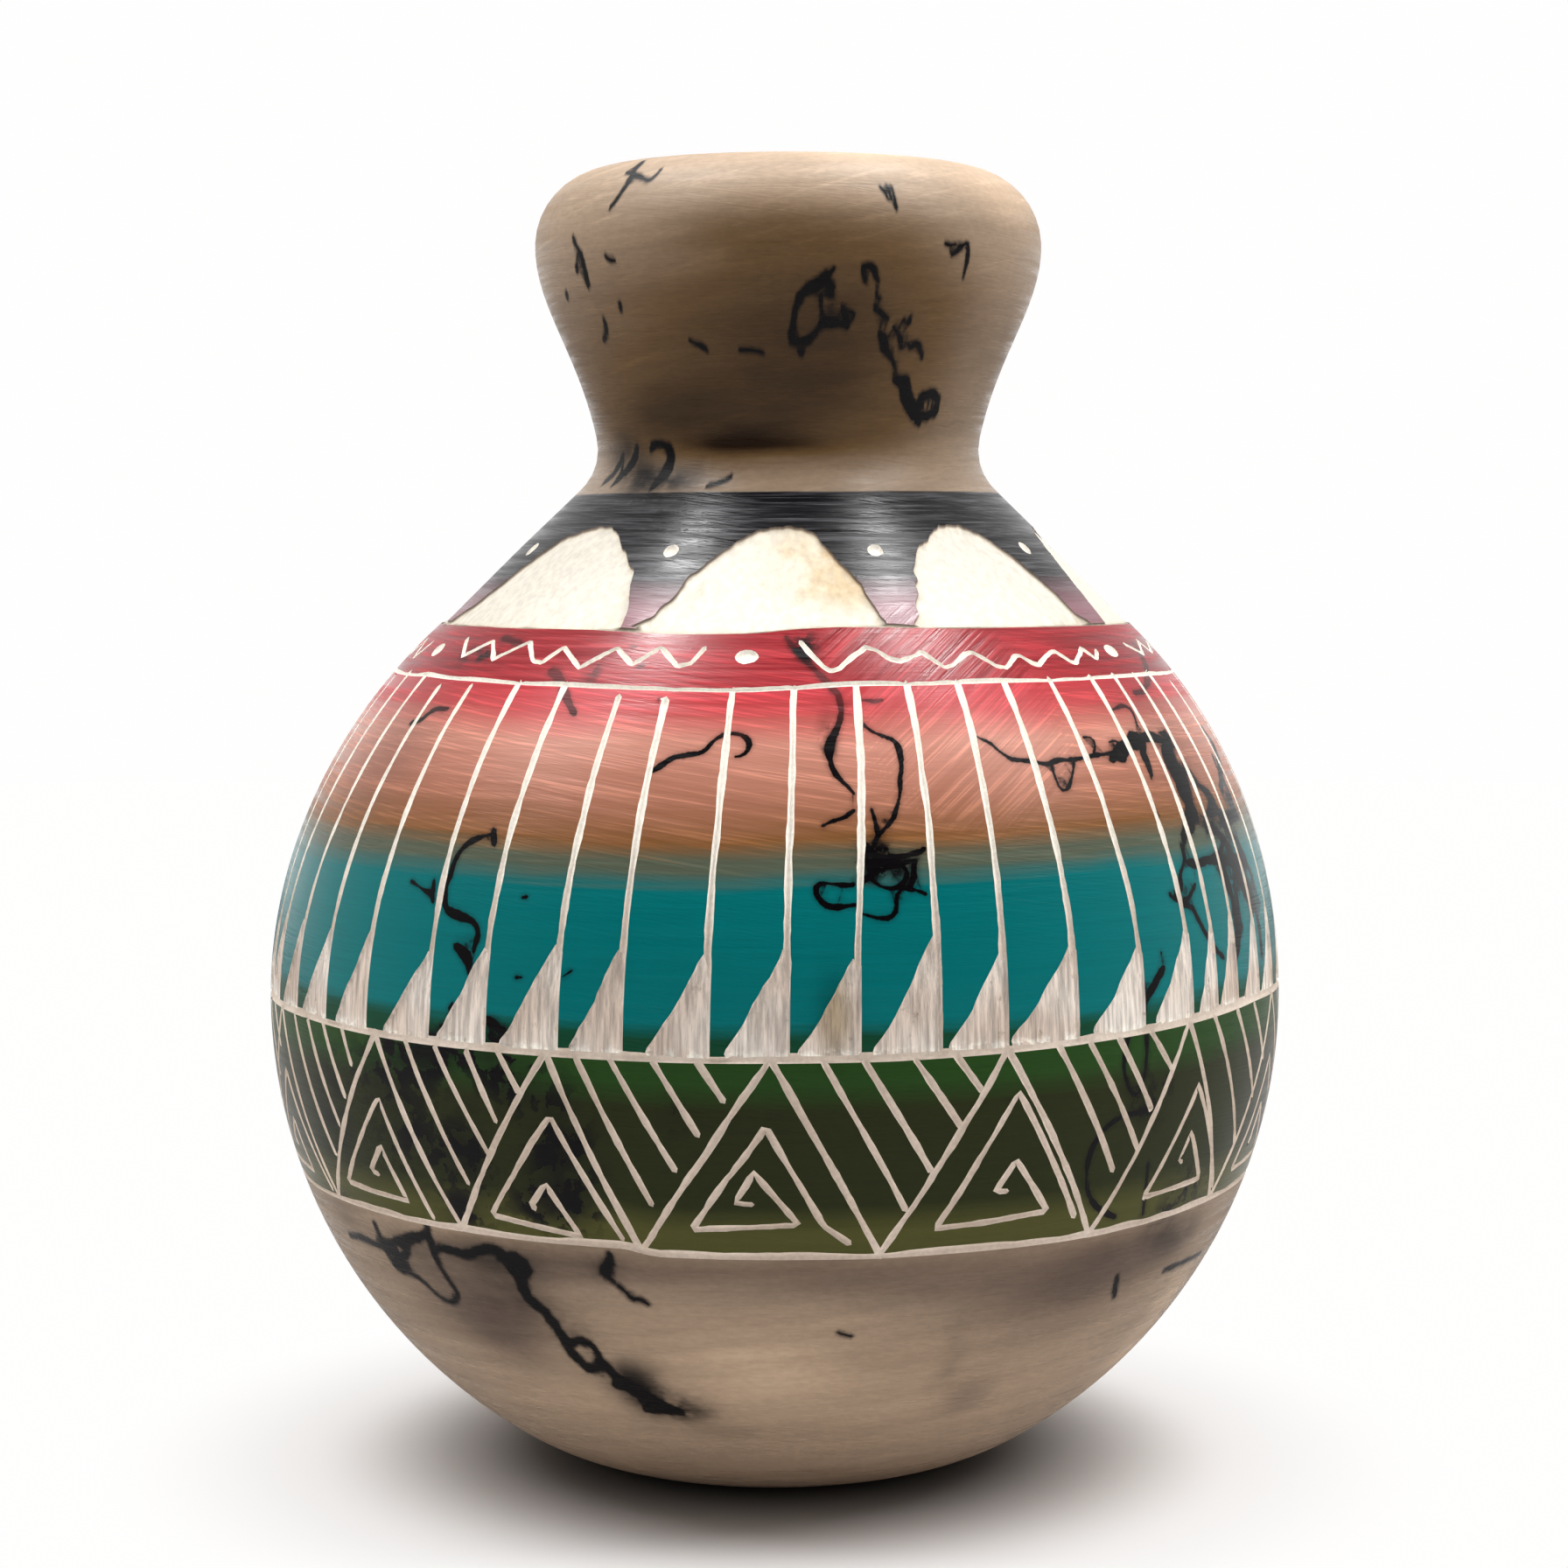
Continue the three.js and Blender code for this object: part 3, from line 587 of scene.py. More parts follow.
# The clay body's mesh, its kinds of surface and its bake map
SEED = 5
KINDS = ("painted", "arch", "line", "notch", "inside")
COLUMNS = 180  # points round the rings where the outer face ends, at the foot and at the rim
SEAM_POINTS = 140
ROW_GAP = 0.866  # height of an even triangle, as a share of its side
CLEAR_OF_CUTS = 0.45  # how far even points stay off a cut and off a hair, of half their spacing
CLEAR_OF_HAIRS = 0.3
DEEP_IN_CUT = 0.8  # how far inside a cut they go on
SNAP = 1e-4  # points of the chart nearer than this are one
NO_AREA = 1e-7
INNER_THINNING = 7  # of the inner wall's points, one in so many is kept
CUT_REACH = 4.0  # how near the seam a cut or a burn has to be to be drawn on both sides of it
MARK_REACH = 8.0
EDGE_REACH = 2.0  # how far from a cut, and from a burn, the distance to it is kept
BURN_REACH = 5.0
SAME_POINT = 8e-6  # metres: points nearer than this become one
OUTER_SHARE = 0.875  # of the bake map's height that the outer face gets
INNER_SHARE = (0.885, 0.965)
DISC_RADIUS = 0.014  # of the two round caps on the bake map
FOOT_SPOT = (0.4, 0.984)
FLOOR_SPOT = (0.6, 0.984)

# The neck's curve: how long it keeps its first and its last direction, as shares of its height
COVE_FULLNESS = 0.46
RIM_FULLNESS = 0.31


def sin_cos(degrees):
    """Sine and cosine of angles in degrees."""
    return np.sin(np.radians(degrees)), np.cos(np.radians(degrees))


def arc(centre, radius, start, end, steps=64):
    """Points on a circle: centre plus radius times cosine and sine of angles from start to end."""
    a = np.linspace(start, end, steps)
    return np.column_stack([centre[0] + radius * np.cos(a), centre[1] + radius * np.sin(a)])


def bezier(points, steps=96):
    """A cubic curve: four points weighted by the Bernstein polynomials of t."""
    t = np.linspace(0, 1, steps)[:, None]
    a, b, c, d = np.asarray(points, float)
    return (1 - t) ** 3 * a + 3 * (1 - t) ** 2 * t * b + 3 * (1 - t) * t**2 * c + t**3 * d


def lower_belly(radius, height, foot, heel):
    """The heel's arc, then the arc that touches it and is upright at the widest ring."""
    across, up = radius - foot, height - heel
    span = (across**2 + up**2 - heel**2) / (2 * (across - heel))
    centre = (radius - span, height)
    meeting = np.arctan2(heel - height, foot - centre[0])
    return np.vstack([arc((foot, heel), heel, -np.pi / 2, meeting), arc(centre, span, meeting, 0, 160)[1:]])


def crease_height(s):
    """Height at which the shoulder's cone would reach the neck."""
    end_radius = s["belly_radius"] * np.cos(s["shoulder_angle"])
    end_height = s["belly_height"] + s["belly_radius"] * np.sin(s["shoulder_angle"])
    return end_height + (end_radius - s["neck_radius"]) / np.tan(s["shoulder_angle"])


def shoulder_and_neck(s, inset):
    """One face of the wall above the widest ring: round shoulder, cone, filleted crease, S-shaped neck."""
    down_cone = np.array([np.sin(s["shoulder_angle"]), -np.cos(s["shoulder_angle"])])
    up_neck = np.array([np.sin(s["neck_flare"]), np.cos(s["neck_flare"])])
    half = np.arccos(down_cone @ up_neck) / 2
    middle = (down_cone + up_neck) / np.linalg.norm(down_cone + up_neck)
    corner = np.array([s["neck_radius"], crease_height(s)]) - middle * inset / np.sin(half)
    fillet = s["crease_fillet"] + inset
    centre = corner + middle * fillet / np.sin(half)
    start = corner + down_cone * fillet / np.tan(half) - centre
    end = corner + up_neck * fillet / np.tan(half) - centre
    start_angle, end_angle = (np.arctan2(p[1], p[0]) % (2 * np.pi) for p in (start, end))
    foot = centre + end
    top = np.array([s["rim_radius"] - inset, crease_height(s) + s["rim_rise"]])
    rise = top[1] - foot[1]
    neck = bezier([foot, foot + up_neck * COVE_FULLNESS * rise, top - (0, RIM_FULLNESS * rise), top])
    shoulder = arc((0, s["belly_height"]), s["belly_radius"] - inset, 0, s["shoulder_angle"], 160)
    cone = np.linspace(shoulder[-1], centre + start, 24)[1:]
    crease = arc(centre, fillet, start_angle, end_angle, 40)[1:]
    return np.vstack([shoulder, cone, crease, neck[1:]])


def outer_section(s):
    """The outer face from the edge of the foot to the top of the rim."""
    wall = shoulder_and_neck(s, 0)
    roll = arc((s["rim_radius"] - s["rim_roll"], wall[-1, 1]), s["rim_roll"], 0, np.pi / 2)
    belly = lower_belly(s["belly_radius"], s["belly_height"], s["foot_radius"], s["heel_radius"])
    return np.vstack([belly, wall[1:], roll[1:]])


def inner_section(s):
    """From the top of the rim round the mouth's edge and down the inside to the centre of the floor."""
    thick = s["wall"]
    roll_centre = np.array([s["rim_radius"] - s["rim_roll"], crease_height(s) + s["rim_rise"]])
    edge_centre = roll_centre + (0, s["rim_roll"] - thick / 2)
    wall = shoulder_and_neck(s, thick)[::-1]
    under = lower_belly(
        s["belly_radius"] - thick,
        s["belly_height"] - s["floor"],
        s["foot_radius"],
        s["heel_radius"] - thick,
    )
    under = (under + (0, s["floor"]))[::-1]
    return np.vstack(
        [
            arc(edge_centre, thick / 2, np.pi / 2, 3 * np.pi / 2, 14),
            arc(roll_centre, s["rim_roll"] - thick, np.pi / 2, 0, 12)[1:],
            wall[1::INNER_THINNING],
            under[1::INNER_THINNING],
            [(s["foot_radius"] / 2, s["floor"])],
        ]
    )


class Wall:
    """The outer face by two parameters: the angle round the vase and the way up its section."""

    def __init__(self, s):
        self.s = s
        section = outer_section(s)
        step = np.hypot(*np.diff(section, axis=0).T)
        self.way = np.concatenate([[0], np.cumsum(step)])
        self.radius, self.height = section.T
        slope = np.gradient(section, self.way, axis=0)
        self.slope_radius, self.slope_height = slope.T
        self.length = self.way[-1]

    def way_at(self, height):
        """The way up the section at a height in millimetres."""
        return np.interp(height, self.height, self.way)

    def height_at(self, way):
        """The height of a point of the section."""
        return np.interp(way, self.way, self.height)

    def offset(self, height):
        """How far the neck's setting moves a ring to the right, and that shift's slope: a smooth step."""
        low, high = self.s["belly_height"], crease_height(self.s)
        full = self.s["neck_offset"]
        t = np.clip((height - low) / (high - low), 0, 1)
        return full * t * t * (3 - 2 * t), full * 6 * t * (1 - t) / (high - low)

    def place(self, turn, way, depth=0.0):
        """Points and outward normals: the ring's radius turned by the angle, then sunk by depth."""
        radius = np.interp(way, self.way, self.radius)
        height = np.interp(way, self.way, self.height)
        slope_r = np.interp(way, self.way, self.slope_radius)
        slope_z = np.interp(way, self.way, self.slope_height)
        shift, shift_slope = self.offset(height)
        sin, cos = sin_cos(turn)
        round_ = np.column_stack([radius * cos, radius * sin, np.zeros_like(radius)])
        up = np.column_stack([slope_r * sin + shift_slope * slope_z, -slope_r * cos, slope_z])
        normal = np.cross(round_, up)
        normal /= np.linalg.norm(normal, axis=1)[:, None]
        points = np.column_stack([radius * sin + shift, -radius * cos, height])
        return points - normal * np.broadcast_to(depth, radius.shape)[:, None], normal


class Chart:
    """The unrolled wall, in millimetres: across is the angle at the belly's radius, up is the way."""

    def __init__(self, wall):
        self.wall = wall
        self.per_degree = np.radians(wall.s["belly_radius"])
        self.half_width = 180 * self.per_degree

    def flat(self, spots):
        """Spots given as (degrees, height) as points of the chart."""
        spots = np.asarray(spots, float).reshape(-1, 2)
        return np.column_stack([spots[:, 0] * self.per_degree, self.wall.way_at(spots[:, 1])])

    def squeeze(self, way):
        """How much narrower the real ring is than the chart, there."""
        return np.interp(way, self.wall.way, self.wall.radius) / self.wall.s["belly_radius"]

    def broader(self, line):
        """How much broader than in reality a line is drawn, all along it, as the chart is too wide."""
        squeeze = self.squeeze(line[:, 1])
        across, up = np.gradient(line, axis=0).T
        steps = np.hypot(squeeze * across, up) * np.hypot(across, up)
        return (up**2 / squeeze + squeeze * across**2) / np.maximum(steps, TINY)


class Sight:
    """The wall as the photograph shows it: which pixel a place is under, and the place under a pixel."""

    focal = LENS / SENSOR * PICTURE_SIDE
    net_turns, net_heights = np.arange(-80, 81, 1.0), np.arange(2, 202, 1.0)
    step = 0.1
    rounds = 6

    def __init__(self, wall):
        self.wall = wall

    def pixels(self, spots):
        """Pixels of spots given as (degrees, height), and how many pixels a millimetre takes up there."""
        points = self.wall.place(spots[:, 0], self.wall.way_at(spots[:, 1]))[0] - EYE
        sin, cos = sin_cos(TILT)
        forward = points[:, 1] * cos - points[:, 2] * sin
        rise = points[:, 1] * sin + points[:, 2] * cos
        scale = self.focal / forward
        return np.column_stack([points[:, 0] * scale, -rise * scale]) + PICTURE_SIDE / 2, scale

    def spots(self, pixels):
        """Spots under pixels: the nearest of a coarse net, then Newton's steps."""
        pixels = np.asarray(pixels, float)
        net = np.stack(np.meshgrid(self.net_turns, self.net_heights), axis=-1).reshape(-1, 2)
        seen = self.pixels(net)[0]
        spots = np.array([net[np.argmin(((seen - pixel) ** 2).sum(axis=1))] for pixel in pixels])
        for _ in range(self.rounds):
            here = self.pixels(spots)[0]
            ways = ((self.step, 0), (0, self.step))
            slopes = np.stack([self.pixels(spots + way)[0] - here for way in ways], axis=-1) / self.step
            spots += np.clip(np.linalg.solve(slopes, (pixels - here)[..., None])[..., 0], -1, 1)
        return spots

    def hair(self, traced):
        """A traced hair as (degrees, height, half width): towards the sides it is seen narrowed."""
        traced = np.asarray(traced, float)
        spots = self.spots(traced[:, :2])
        half = traced[:, 2] / self.pixels(spots)[1] / sin_cos(spots[:, 0])[1] ** NARROWING
        base = spots[:, 1] < ring_height(FOOT_LINE, spots[:, 0])
        return np.column_stack([spots, half * np.where(base, BASE_HAIR, 1.0)])


def resample(points, step):
    """Points at even distances along a polyline, with its ends kept."""
    gaps = np.hypot(*np.diff(points[:, :2], axis=0).T)
    run = np.concatenate([[0], np.cumsum(gaps)])
    n = max(2, int(round(run[-1] / step)) + 1)
    t = np.linspace(0, run[-1], n)
    return np.column_stack([np.interp(t, run, column) for column in points.T])


def rounded(points, passes=2):
    """A polyline with its corners cut (Chaikin): each side gives points at a quarter and three quarters."""
    for _ in range(passes):
        a, b = points[:-1], points[1:]
        inner = np.stack([0.75 * a + 0.25 * b, 0.25 * a + 0.75 * b], axis=1).reshape(-1, points.shape[1])
        points = np.vstack([points[:1], inner, points[-1:]])
    return points


def to_links(at, a, b):
    """How far each point is from each link from a to b, and the share of the link where it is nearest."""
    ab = b - a
    ap = at[:, None] - a
    t = np.clip((ap * ab).sum(-1) / np.maximum((ab * ab).sum(-1), TINY), 0, 1)
    return np.linalg.norm(ap - t[..., None] * ab, axis=-1), t


def wavering(rng, n, smooth=2):
    """n random numbers, about -1 to 1, each averaged with its neighbours."""
    noise = rng.normal(size=n + 2 * smooth)
    kernel = np.ones(2 * smooth + 1) / np.sqrt(2 * smooth + 1)
    return np.clip(np.convolve(noise, kernel, "valid"), -1.6, 1.6)


class Cut:
    """A stroke: a chain of round-ended links, each thick at its two ends as the tool pressed."""

    def __init__(self, points, half, kind, tips=True):
        self.kind = kind
        self.points = points
        self.half = np.broadcast_to(half, len(points)).astype(float)
        self.tips = tips
        self.shares = (1.0, -1.0, 0.0) if kind == "hair" else (1.0, -1.0, 0.35, -0.35)

    def moved(self, across):
        """The same stroke, moved along the chart."""
        return Cut(self.points + (across, 0), self.half, self.kind, self.tips)

    def rails(self):
        """Lines beside the stroke, at shares of its half width, brought together at its two tips."""
        d = np.gradient(self.points, axis=0)
        d /= np.linalg.norm(d, axis=1)[:, None] + TINY
        side = np.column_stack([-d[:, 1], d[:, 0]]) * self.half[:, None]
        lines = [self.points + side * share for share in self.shares]
        if not self.tips:
            return lines
        first = self.points[0] - d[0] * self.half[0]
        last = self.points[-1] + d[-1] * self.half[-1]
        return [np.vstack([[first], line, [last]]) for line in lines]

    def distance(self, at):
        """Signed distance: to the nearest link, less that link's half width there."""
        gap, t = to_links(at, self.points[:-1], self.points[1:])
        return (gap - (self.half[:-1] + t * (self.half[1:] - self.half[:-1]))).min(axis=1)


class Field:
    """An area cut away inside a closed outline."""

    def __init__(self, outline, kind):
        self.kind = kind
        self.points = outline
        self.half = np.zeros(1)  # an area has no width beyond its outline

    def moved(self, across):
        """The same area, moved along the chart."""
        return Field(self.points + (across, 0), self.kind)

    def rails(self, inset=0.3):
        """The outline, and the same line moved inwards."""
        closed = np.vstack([self.points, self.points[:1]])
        d = np.roll(self.points, -1, axis=0) - np.roll(self.points, 1, axis=0)
        d /= np.linalg.norm(d, axis=1)[:, None] + TINY
        inner = self.points + np.column_stack([-d[:, 1], d[:, 0]]) * inset
        inner = inner[self.distance(inner) < -0.8 * inset]
        return [closed, inner] if len(inner) > 2 else [closed]

    def distance(self, at):
        """Signed distance: to the nearest side, negative where the outline winds round the point."""
        a, b = self.points, np.roll(self.points, -1, axis=0)
        gap = to_links(at, a, b)[0].min(axis=1)
        ab = b - a
        ap = at[:, None] - a
        side = ab[:, 0] * ap[..., 1] - ab[:, 1] * ap[..., 0]
        rises = (a[:, 1] <= at[:, None, 1]) & (b[:, 1] > at[:, None, 1]) & (side > 0)
        falls = (a[:, 1] > at[:, None, 1]) & (b[:, 1] <= at[:, None, 1]) & (side < 0)
        return np.where(rises.sum(1) != falls.sum(1), -gap, gap)


def ring_height(knots, turn):
    """Height of a hand-drawn ring: straight between (degrees, height) knots, closed at the back."""
    turns, heights = np.array(knots).T
    return np.interp(turn, turns, heights, period=360)


def ring(chart, knots, half, kind, rng):
    """A ring cut right round the wall, with a hand's waver."""
    spots = np.column_stack([RING_TURNS, ring_height(knots, RING_TURNS)])
    line = resample(chart.flat(spots), RING_STEP)
    full = 2 * chart.half_width
    waver = np.interp(line[:, 0], np.linspace(0, full, 200), wavering(rng, 200), period=full)
    line[:, 1] += RING_WAVER * waver
    width = half * (1 + RING_SWELL * waver)
    pieces = [slice(i, i + RING_LINKS + 1) for i in range(0, len(line) - 1, RING_LINKS)]
    return [Cut(line[piece], width[piece], kind, tips=False) for piece in pieces]


def stroke(chart, spots, half, rng, round_off=0, step=STROKE_STEP):
    """One pull of the tool through the given spots."""
    line = chart.flat(spots)
    if round_off:
        line = rounded(line, round_off)
    line = resample(line, step)
    side = wavering(rng, len(line))
    line = line + STROKE_WAVER * np.column_stack([side, -side])
    width = half * (1 + STROKE_SWELL * wavering(rng, len(line), 1)) * chart.broader(line)
    return Cut(line, np.maximum(width, THINNEST_STROKE), "line")


def arch_form(turn, rng):
    """A round-headed arch: its height falls off as a power of the way from its middle."""
    half = ARCH_HALF_TURN * (1 + ARCH_HALF_SPREAD * rng.normal())
    top = ARCH_TOP + ARCH_TOP_SPREAD * rng.normal()
    t = np.sin(np.linspace(-1, 1, 30) * np.pi / 2)
    base = ring_height(TOP_LINE, turn + half * t)
    return np.column_stack([turn + half * t, base + (top - base) * (1 - np.abs(t) ** ARCH_POWER)])


def arch_field(chart, spots, rng):
    """The area between an arch's outline and the top line, its edge broken by small chips."""
    line = resample(chart.flat(spots), ARCH_STEP)
    chips = np.column_stack([wavering(rng, len(line), 1), wavering(rng, len(line), 1)])
    line[1:-1] += CHIP * chips[1:-1]
    turns = np.linspace(spots[-1][0], spots[0][0], 14)[1:-1]
    under = chart.flat(np.column_stack([turns, ring_height(TOP_LINE, turns) - 0.1]))
    return Field(np.vstack([line, under])[::-1], "arch")


def oval(chart, turn, height, size, rng):
    """A small round cut; its size is half its width and half its height."""
    across, up = size
    a = np.linspace(0, 2 * np.pi, ROUND_POINTS, endpoint=False)
    middle = chart.flat([(turn, height)])[0]
    swell = 1 + ROUND_SWELL * wavering(rng, ROUND_POINTS, 1)
    squeeze = chart.squeeze(middle[1])
    outline = np.column_stack([across * swell * np.cos(a) / squeeze, up * swell * np.sin(a)])
    return Field(middle + outline, "line")


def notch_field(chart, turn, width, rng):
    """A feather's cut: upright along the quill, slanting out to the left, standing on the notch line."""
    foot = ring_height(NOTCH_LINE, turn)
    top = NOTCH_TOP + NOTCH_TOP_SPREAD * rng.normal() + NOTCH_FOLLOW * (foot - NOTCH_FOOT)
    t = np.linspace(0, 1, 12)
    out = (1 - NOTCH_BEND) * t + NOTCH_BEND * t**4
    side = turn - NOTCH_EDGE - (width - NOTCH_EDGE) * out
    left = np.column_stack([side, top + (foot + NOTCH_HEEL - top) * t])
    left[1:-1, 0] += NOTCH_WAVER * wavering(rng, 10, 1)
    base = [
        (turn - width - 0.15, foot + 0.7),
        (turn - width, foot),
        (turn - width / 2, foot - 0.1),
        (turn + NOTCH_EDGE, foot - 0.3),
    ]
    right = np.column_stack([np.full(8, turn + NOTCH_EDGE), np.linspace(foot + 1, top - 1, 8)])
    return Field(chart.flat(np.vstack([left, base, right])), "notch")


def waves(start, end, rng):
    """Corners of a run of waves between two angles, with uneven steps."""
    turn = np.linspace(start, end, WAVE_CORNERS) + WAVE_TURN_SPREAD * rng.normal(size=WAVE_CORNERS)
    level = np.where(np.arange(WAVE_CORNERS) % 2, WAVE_LOW, WAVE_HIGH)
    height = SPOT_HEIGHT + level + WAVE_HEIGHT_SPREAD * rng.normal(size=WAVE_CORNERS)
    return np.column_stack([turn, height])


def turns_behind(rows, total):
    """Even turns on the far side, which bring the rows that face the viewer up to a total."""
    first, last = rows[0][0], rows[-1][0]
    gap = (360 - (last - first)) / (total - len(rows) + 1)
    return [last + gap * i for i in range(1, total - len(rows) + 1)]


def feather_rows(total, rng):
    """Every feather round the belly: those that face the viewer, then evenly spaced ones behind."""
    rows = list(FEATHERS)
    for even in turns_behind(FEATHERS, total):
        turn = even + FEATHER_SPREAD * rng.normal()
        foot = turn + FEATHER_LEAN * rng.normal()
        width = FEATHER_WIDTH + FEATHER_WIDTH_SPREAD * rng.normal()
        rows.append((turn, foot, width, max(0, FEATHER_SHORT * rng.normal())))
    return rows


def fret_rows(total, rng):
    """Every triangle of the low band: those that face the viewer, then evenly spaced ones behind."""
    rows = [(apex, foot, np.array(fret), np.array(hatches)) for apex, foot, fret, hatches in FRETS]
    low, high = FRET_BAND
    for even in turns_behind(FRETS, total):
        apex = even + TRIANGLE_SPREAD * rng.normal()
        form = np.array([(apex + t, low + h * (high - low)) for t, h in FRET_FORM])
        fret = form + FRET_SPREAD * rng.normal(size=form.shape)
        form = np.array(HATCH_FORM) + (apex, apex, 0)
        hatches = form + HATCH_SPREAD * rng.normal(size=form.shape)
        rows.append((apex, apex - TRIANGLE_FOOT + TRIANGLE_SPREAD * rng.normal(), fret, hatches))
    return rows


def shoulder_cuts(chart, sight, width, rng):
    """Arches, dots, spots and waves."""
    arches = [sight.spots(outline) for outline in ARCHES]
    arches += [arch_form(turn, rng) for turn in ARCH_TURNS]
    cuts = [arch_field(chart, spots, rng) for spots in arches]
    for turn in DOT_TURNS:
        cuts.append(oval(chart, turn, DOT_HEIGHT + DOT_SPREAD * rng.normal(), DOT_SIZE, rng))
    for turn in SPOT_TURNS:
        cuts.append(oval(chart, turn, SPOT_HEIGHT, SPOT_SIZE, rng))
    runs = [sight.spots(WAVES_LEFT), sight.spots(WAVES_RIGHT)]
    ends = (*SPOT_TURNS[3:], 360 + SPOT_TURNS[0])
    after, before = WAVE_MARGINS
    runs += [waves(start + after, end + before, rng) for start, end in zip(SPOT_TURNS[2:], ends)]
    return cuts + [stroke(chart, run, width, rng, step=WAVE_STEP) for run in runs]


def feather_cuts(chart, total, width, rng):
    """A quill and a notch for each feather."""
    cuts = []
    for top, foot, notch, short in feather_rows(total, rng):
        start = ring_height(FEATHER_LINE, top) - short
        end = ring_height(NOTCH_LINE, foot)
        bend = top + QUILL_BEND_SHARE * (foot - top)
        spots = [(top, start), (bend, QUILL_BEND), (foot, NOTCH_TOP), (foot, end)]
        cuts.append(stroke(chart, spots, width, rng, round_off=1))
        cuts.append(notch_field(chart, foot, notch, rng))
    return cuts


def triangle_cuts(chart, total, width, rng):
    """The chain of triangles, with a fret in each and hatches between them."""
    cuts = []
    rows = fret_rows(total, rng)
    feet = [row[1] for row in rows]
    for (apex, foot, fret, hatches), next_foot in zip(rows, [*feet[1:], feet[0] + 360]):
        high, low = ring_height(NOTCH_LINE, apex), ring_height(FOOT_LINE, foot)
        next_low = ring_height(FOOT_LINE, next_foot)
        cuts.append(stroke(chart, [(foot, low), (apex, high)], width, rng))
        cuts.append(stroke(chart, [(apex, high), (next_foot, next_low)], width, rng))
        cuts.append(stroke(chart, fret, width * FRET_WIDTH, rng))
        for start, end, bottom in hatches:
            top = ring_height(NOTCH_LINE, start) - abs(HATCH_SHORT * rng.normal())
            cuts.append(stroke(chart, [(start, top), (end, bottom)], width * HATCH_WIDTH, rng))
    return cuts


def carving(chart, sight, o, rng):
    """Every cut of the ornament."""
    cuts = [cut for row in RINGS for cut in ring(chart, *row, rng)]
    cuts += shoulder_cuts(chart, sight, o["fine_width"] / 2, rng)
    cuts += feather_cuts(chart, o["feathers"], o["quill_width"] / 2, rng)
    return cuts + triangle_cuts(chart, o["triangles"], o["line_width"] / 2, rng)


def squiggle(rng, turn, height, reach, half, chart):
    """A hair laid by chance: its heading wanders smoothly, and now and then it curls."""
    n = int(rng.integers(*CHANCE_STEPS))
    bend = CHANCE_WANDER * wavering(rng, n, 3) + rng.choice(CHANCE_CURLS)
    heading = rng.uniform(0, 2 * np.pi) + np.cumsum(bend)
    steps = reach / n * np.column_stack([np.cos(heading), np.sin(heading)])
    points = chart.flat([(turn, height)]) + np.cumsum(steps, axis=0)
    taper = half * (0.55 + 0.6 * np.sin(np.linspace(0.2, np.pi - 0.2, n)))
    width = np.maximum(taper * (1 + CHANCE_SWELL * wavering(rng, n, 1)), THINNEST_CHANCE_HAIR)
    return Cut(points, width * chart.broader(points), "hair")


def burns(chart, sight, rng):
    """Every burn: those that face the viewer, and others laid by chance on the far side."""
    marks = []
    for spots in map(sight.hair, HAIRS):
        flat = rounded(np.column_stack([chart.flat(spots[:, :2]), spots[:, 2]]), 1)
        line = resample(flat, HAIR_STEP)
        swell = 1 + HAIR_SWELL * wavering(rng, len(line), 1)
        width = line[:, 2] * swell * chart.broader(line[:, :2])
        marks.append(Cut(line[:, :2], np.maximum(width, THINNEST_HAIR), "hair"))
    for _ in range(CHANCE_HAIRS):
        turn = rng.uniform(*CHANCE_TURNS)
        height = rng.choice([rng.uniform(*span) for span in CHANCE_HEIGHTS])
        reach = rng.uniform(*CHANCE_REACH)
        marks.append(squiggle(rng, turn, height, reach, rng.uniform(*CHANCE_HALF), chart))
    return marks


def round_copies(shapes, chart, near):
    """The shapes, and copies a whole turn away of those that come near the chart's seam."""
    full = 2 * chart.half_width
    out = []
    for shape in shapes:
        low, high = shape.points[:, 0].min(), shape.points[:, 0].max()
        for shift in (-full, 0, full):
            if high + shift > -chart.half_width - near and low + shift < chart.half_width + near:
                out.append(shape.moved(shift))
    return out


def nearest(shapes, at, reach):
    """Signed distance from each point to the nearest shape, up to reach, and that shape's number."""
    best = np.full(len(at), float(reach))
    which = np.full(len(at), -1)
    order = np.argsort(at[:, 0])
    across = at[order, 0]
    for number, shape in enumerate(shapes):
        margin = reach + shape.half.max()
        low, high = shape.points.min(axis=0) - margin, shape.points.max(axis=0) + margin
        near = order[np.searchsorted(across, low[0]) : np.searchsorted(across, high[0])]
        near = near[(at[near, 1] > low[1]) & (at[near, 1] < high[1])]
        if len(near):
            gap = shape.distance(at[near])
            closer = gap < best[near]
            best[near[closer]] = gap[closer]
            which[near[closer]] = number
    return best, which


def blots(clouds, turn, height, chart):
    """Sum of soft round stains, each falling off as a bell curve from its middle."""
    total = np.zeros(len(turn))
    squeeze = chart.squeeze(chart.wall.way_at(height))
    for middle, level, across, up, strength in clouds:
        away = (turn - middle + 180) % 360 - 180
        x = away * chart.per_degree * squeeze / across
        total += strength * np.exp(-(x**2 + ((height - level) / up) ** 2))
    return total


def band_level(turn, height):
    """Height on an even vase: the hand-drawn rings are moved to their mean heights, straight in between."""
    knots = [np.zeros_like(turn)]
    knots += [ring_height(line, turn) for line in (FOOT_LINE, NOTCH_LINE, FEATHER_LINE, TOP_LINE)]
    knots.append(np.full_like(turn, BLACK_EDGE + BLACK_EDGE_RISE) + BLACK_EDGE_RISE * sin_cos(turn)[0])
    knots.append(np.full_like(turn, RIM_LEVEL))
    level = height.copy()
    for low, high, even_low, even_high in zip(knots, knots[1:], EVEN_LEVELS, EVEN_LEVELS[1:]):
        here = (height >= low) & (height <= high)
        level[here] = (even_low + (even_high - even_low) * (height - low) / (high - low))[here]
    return level


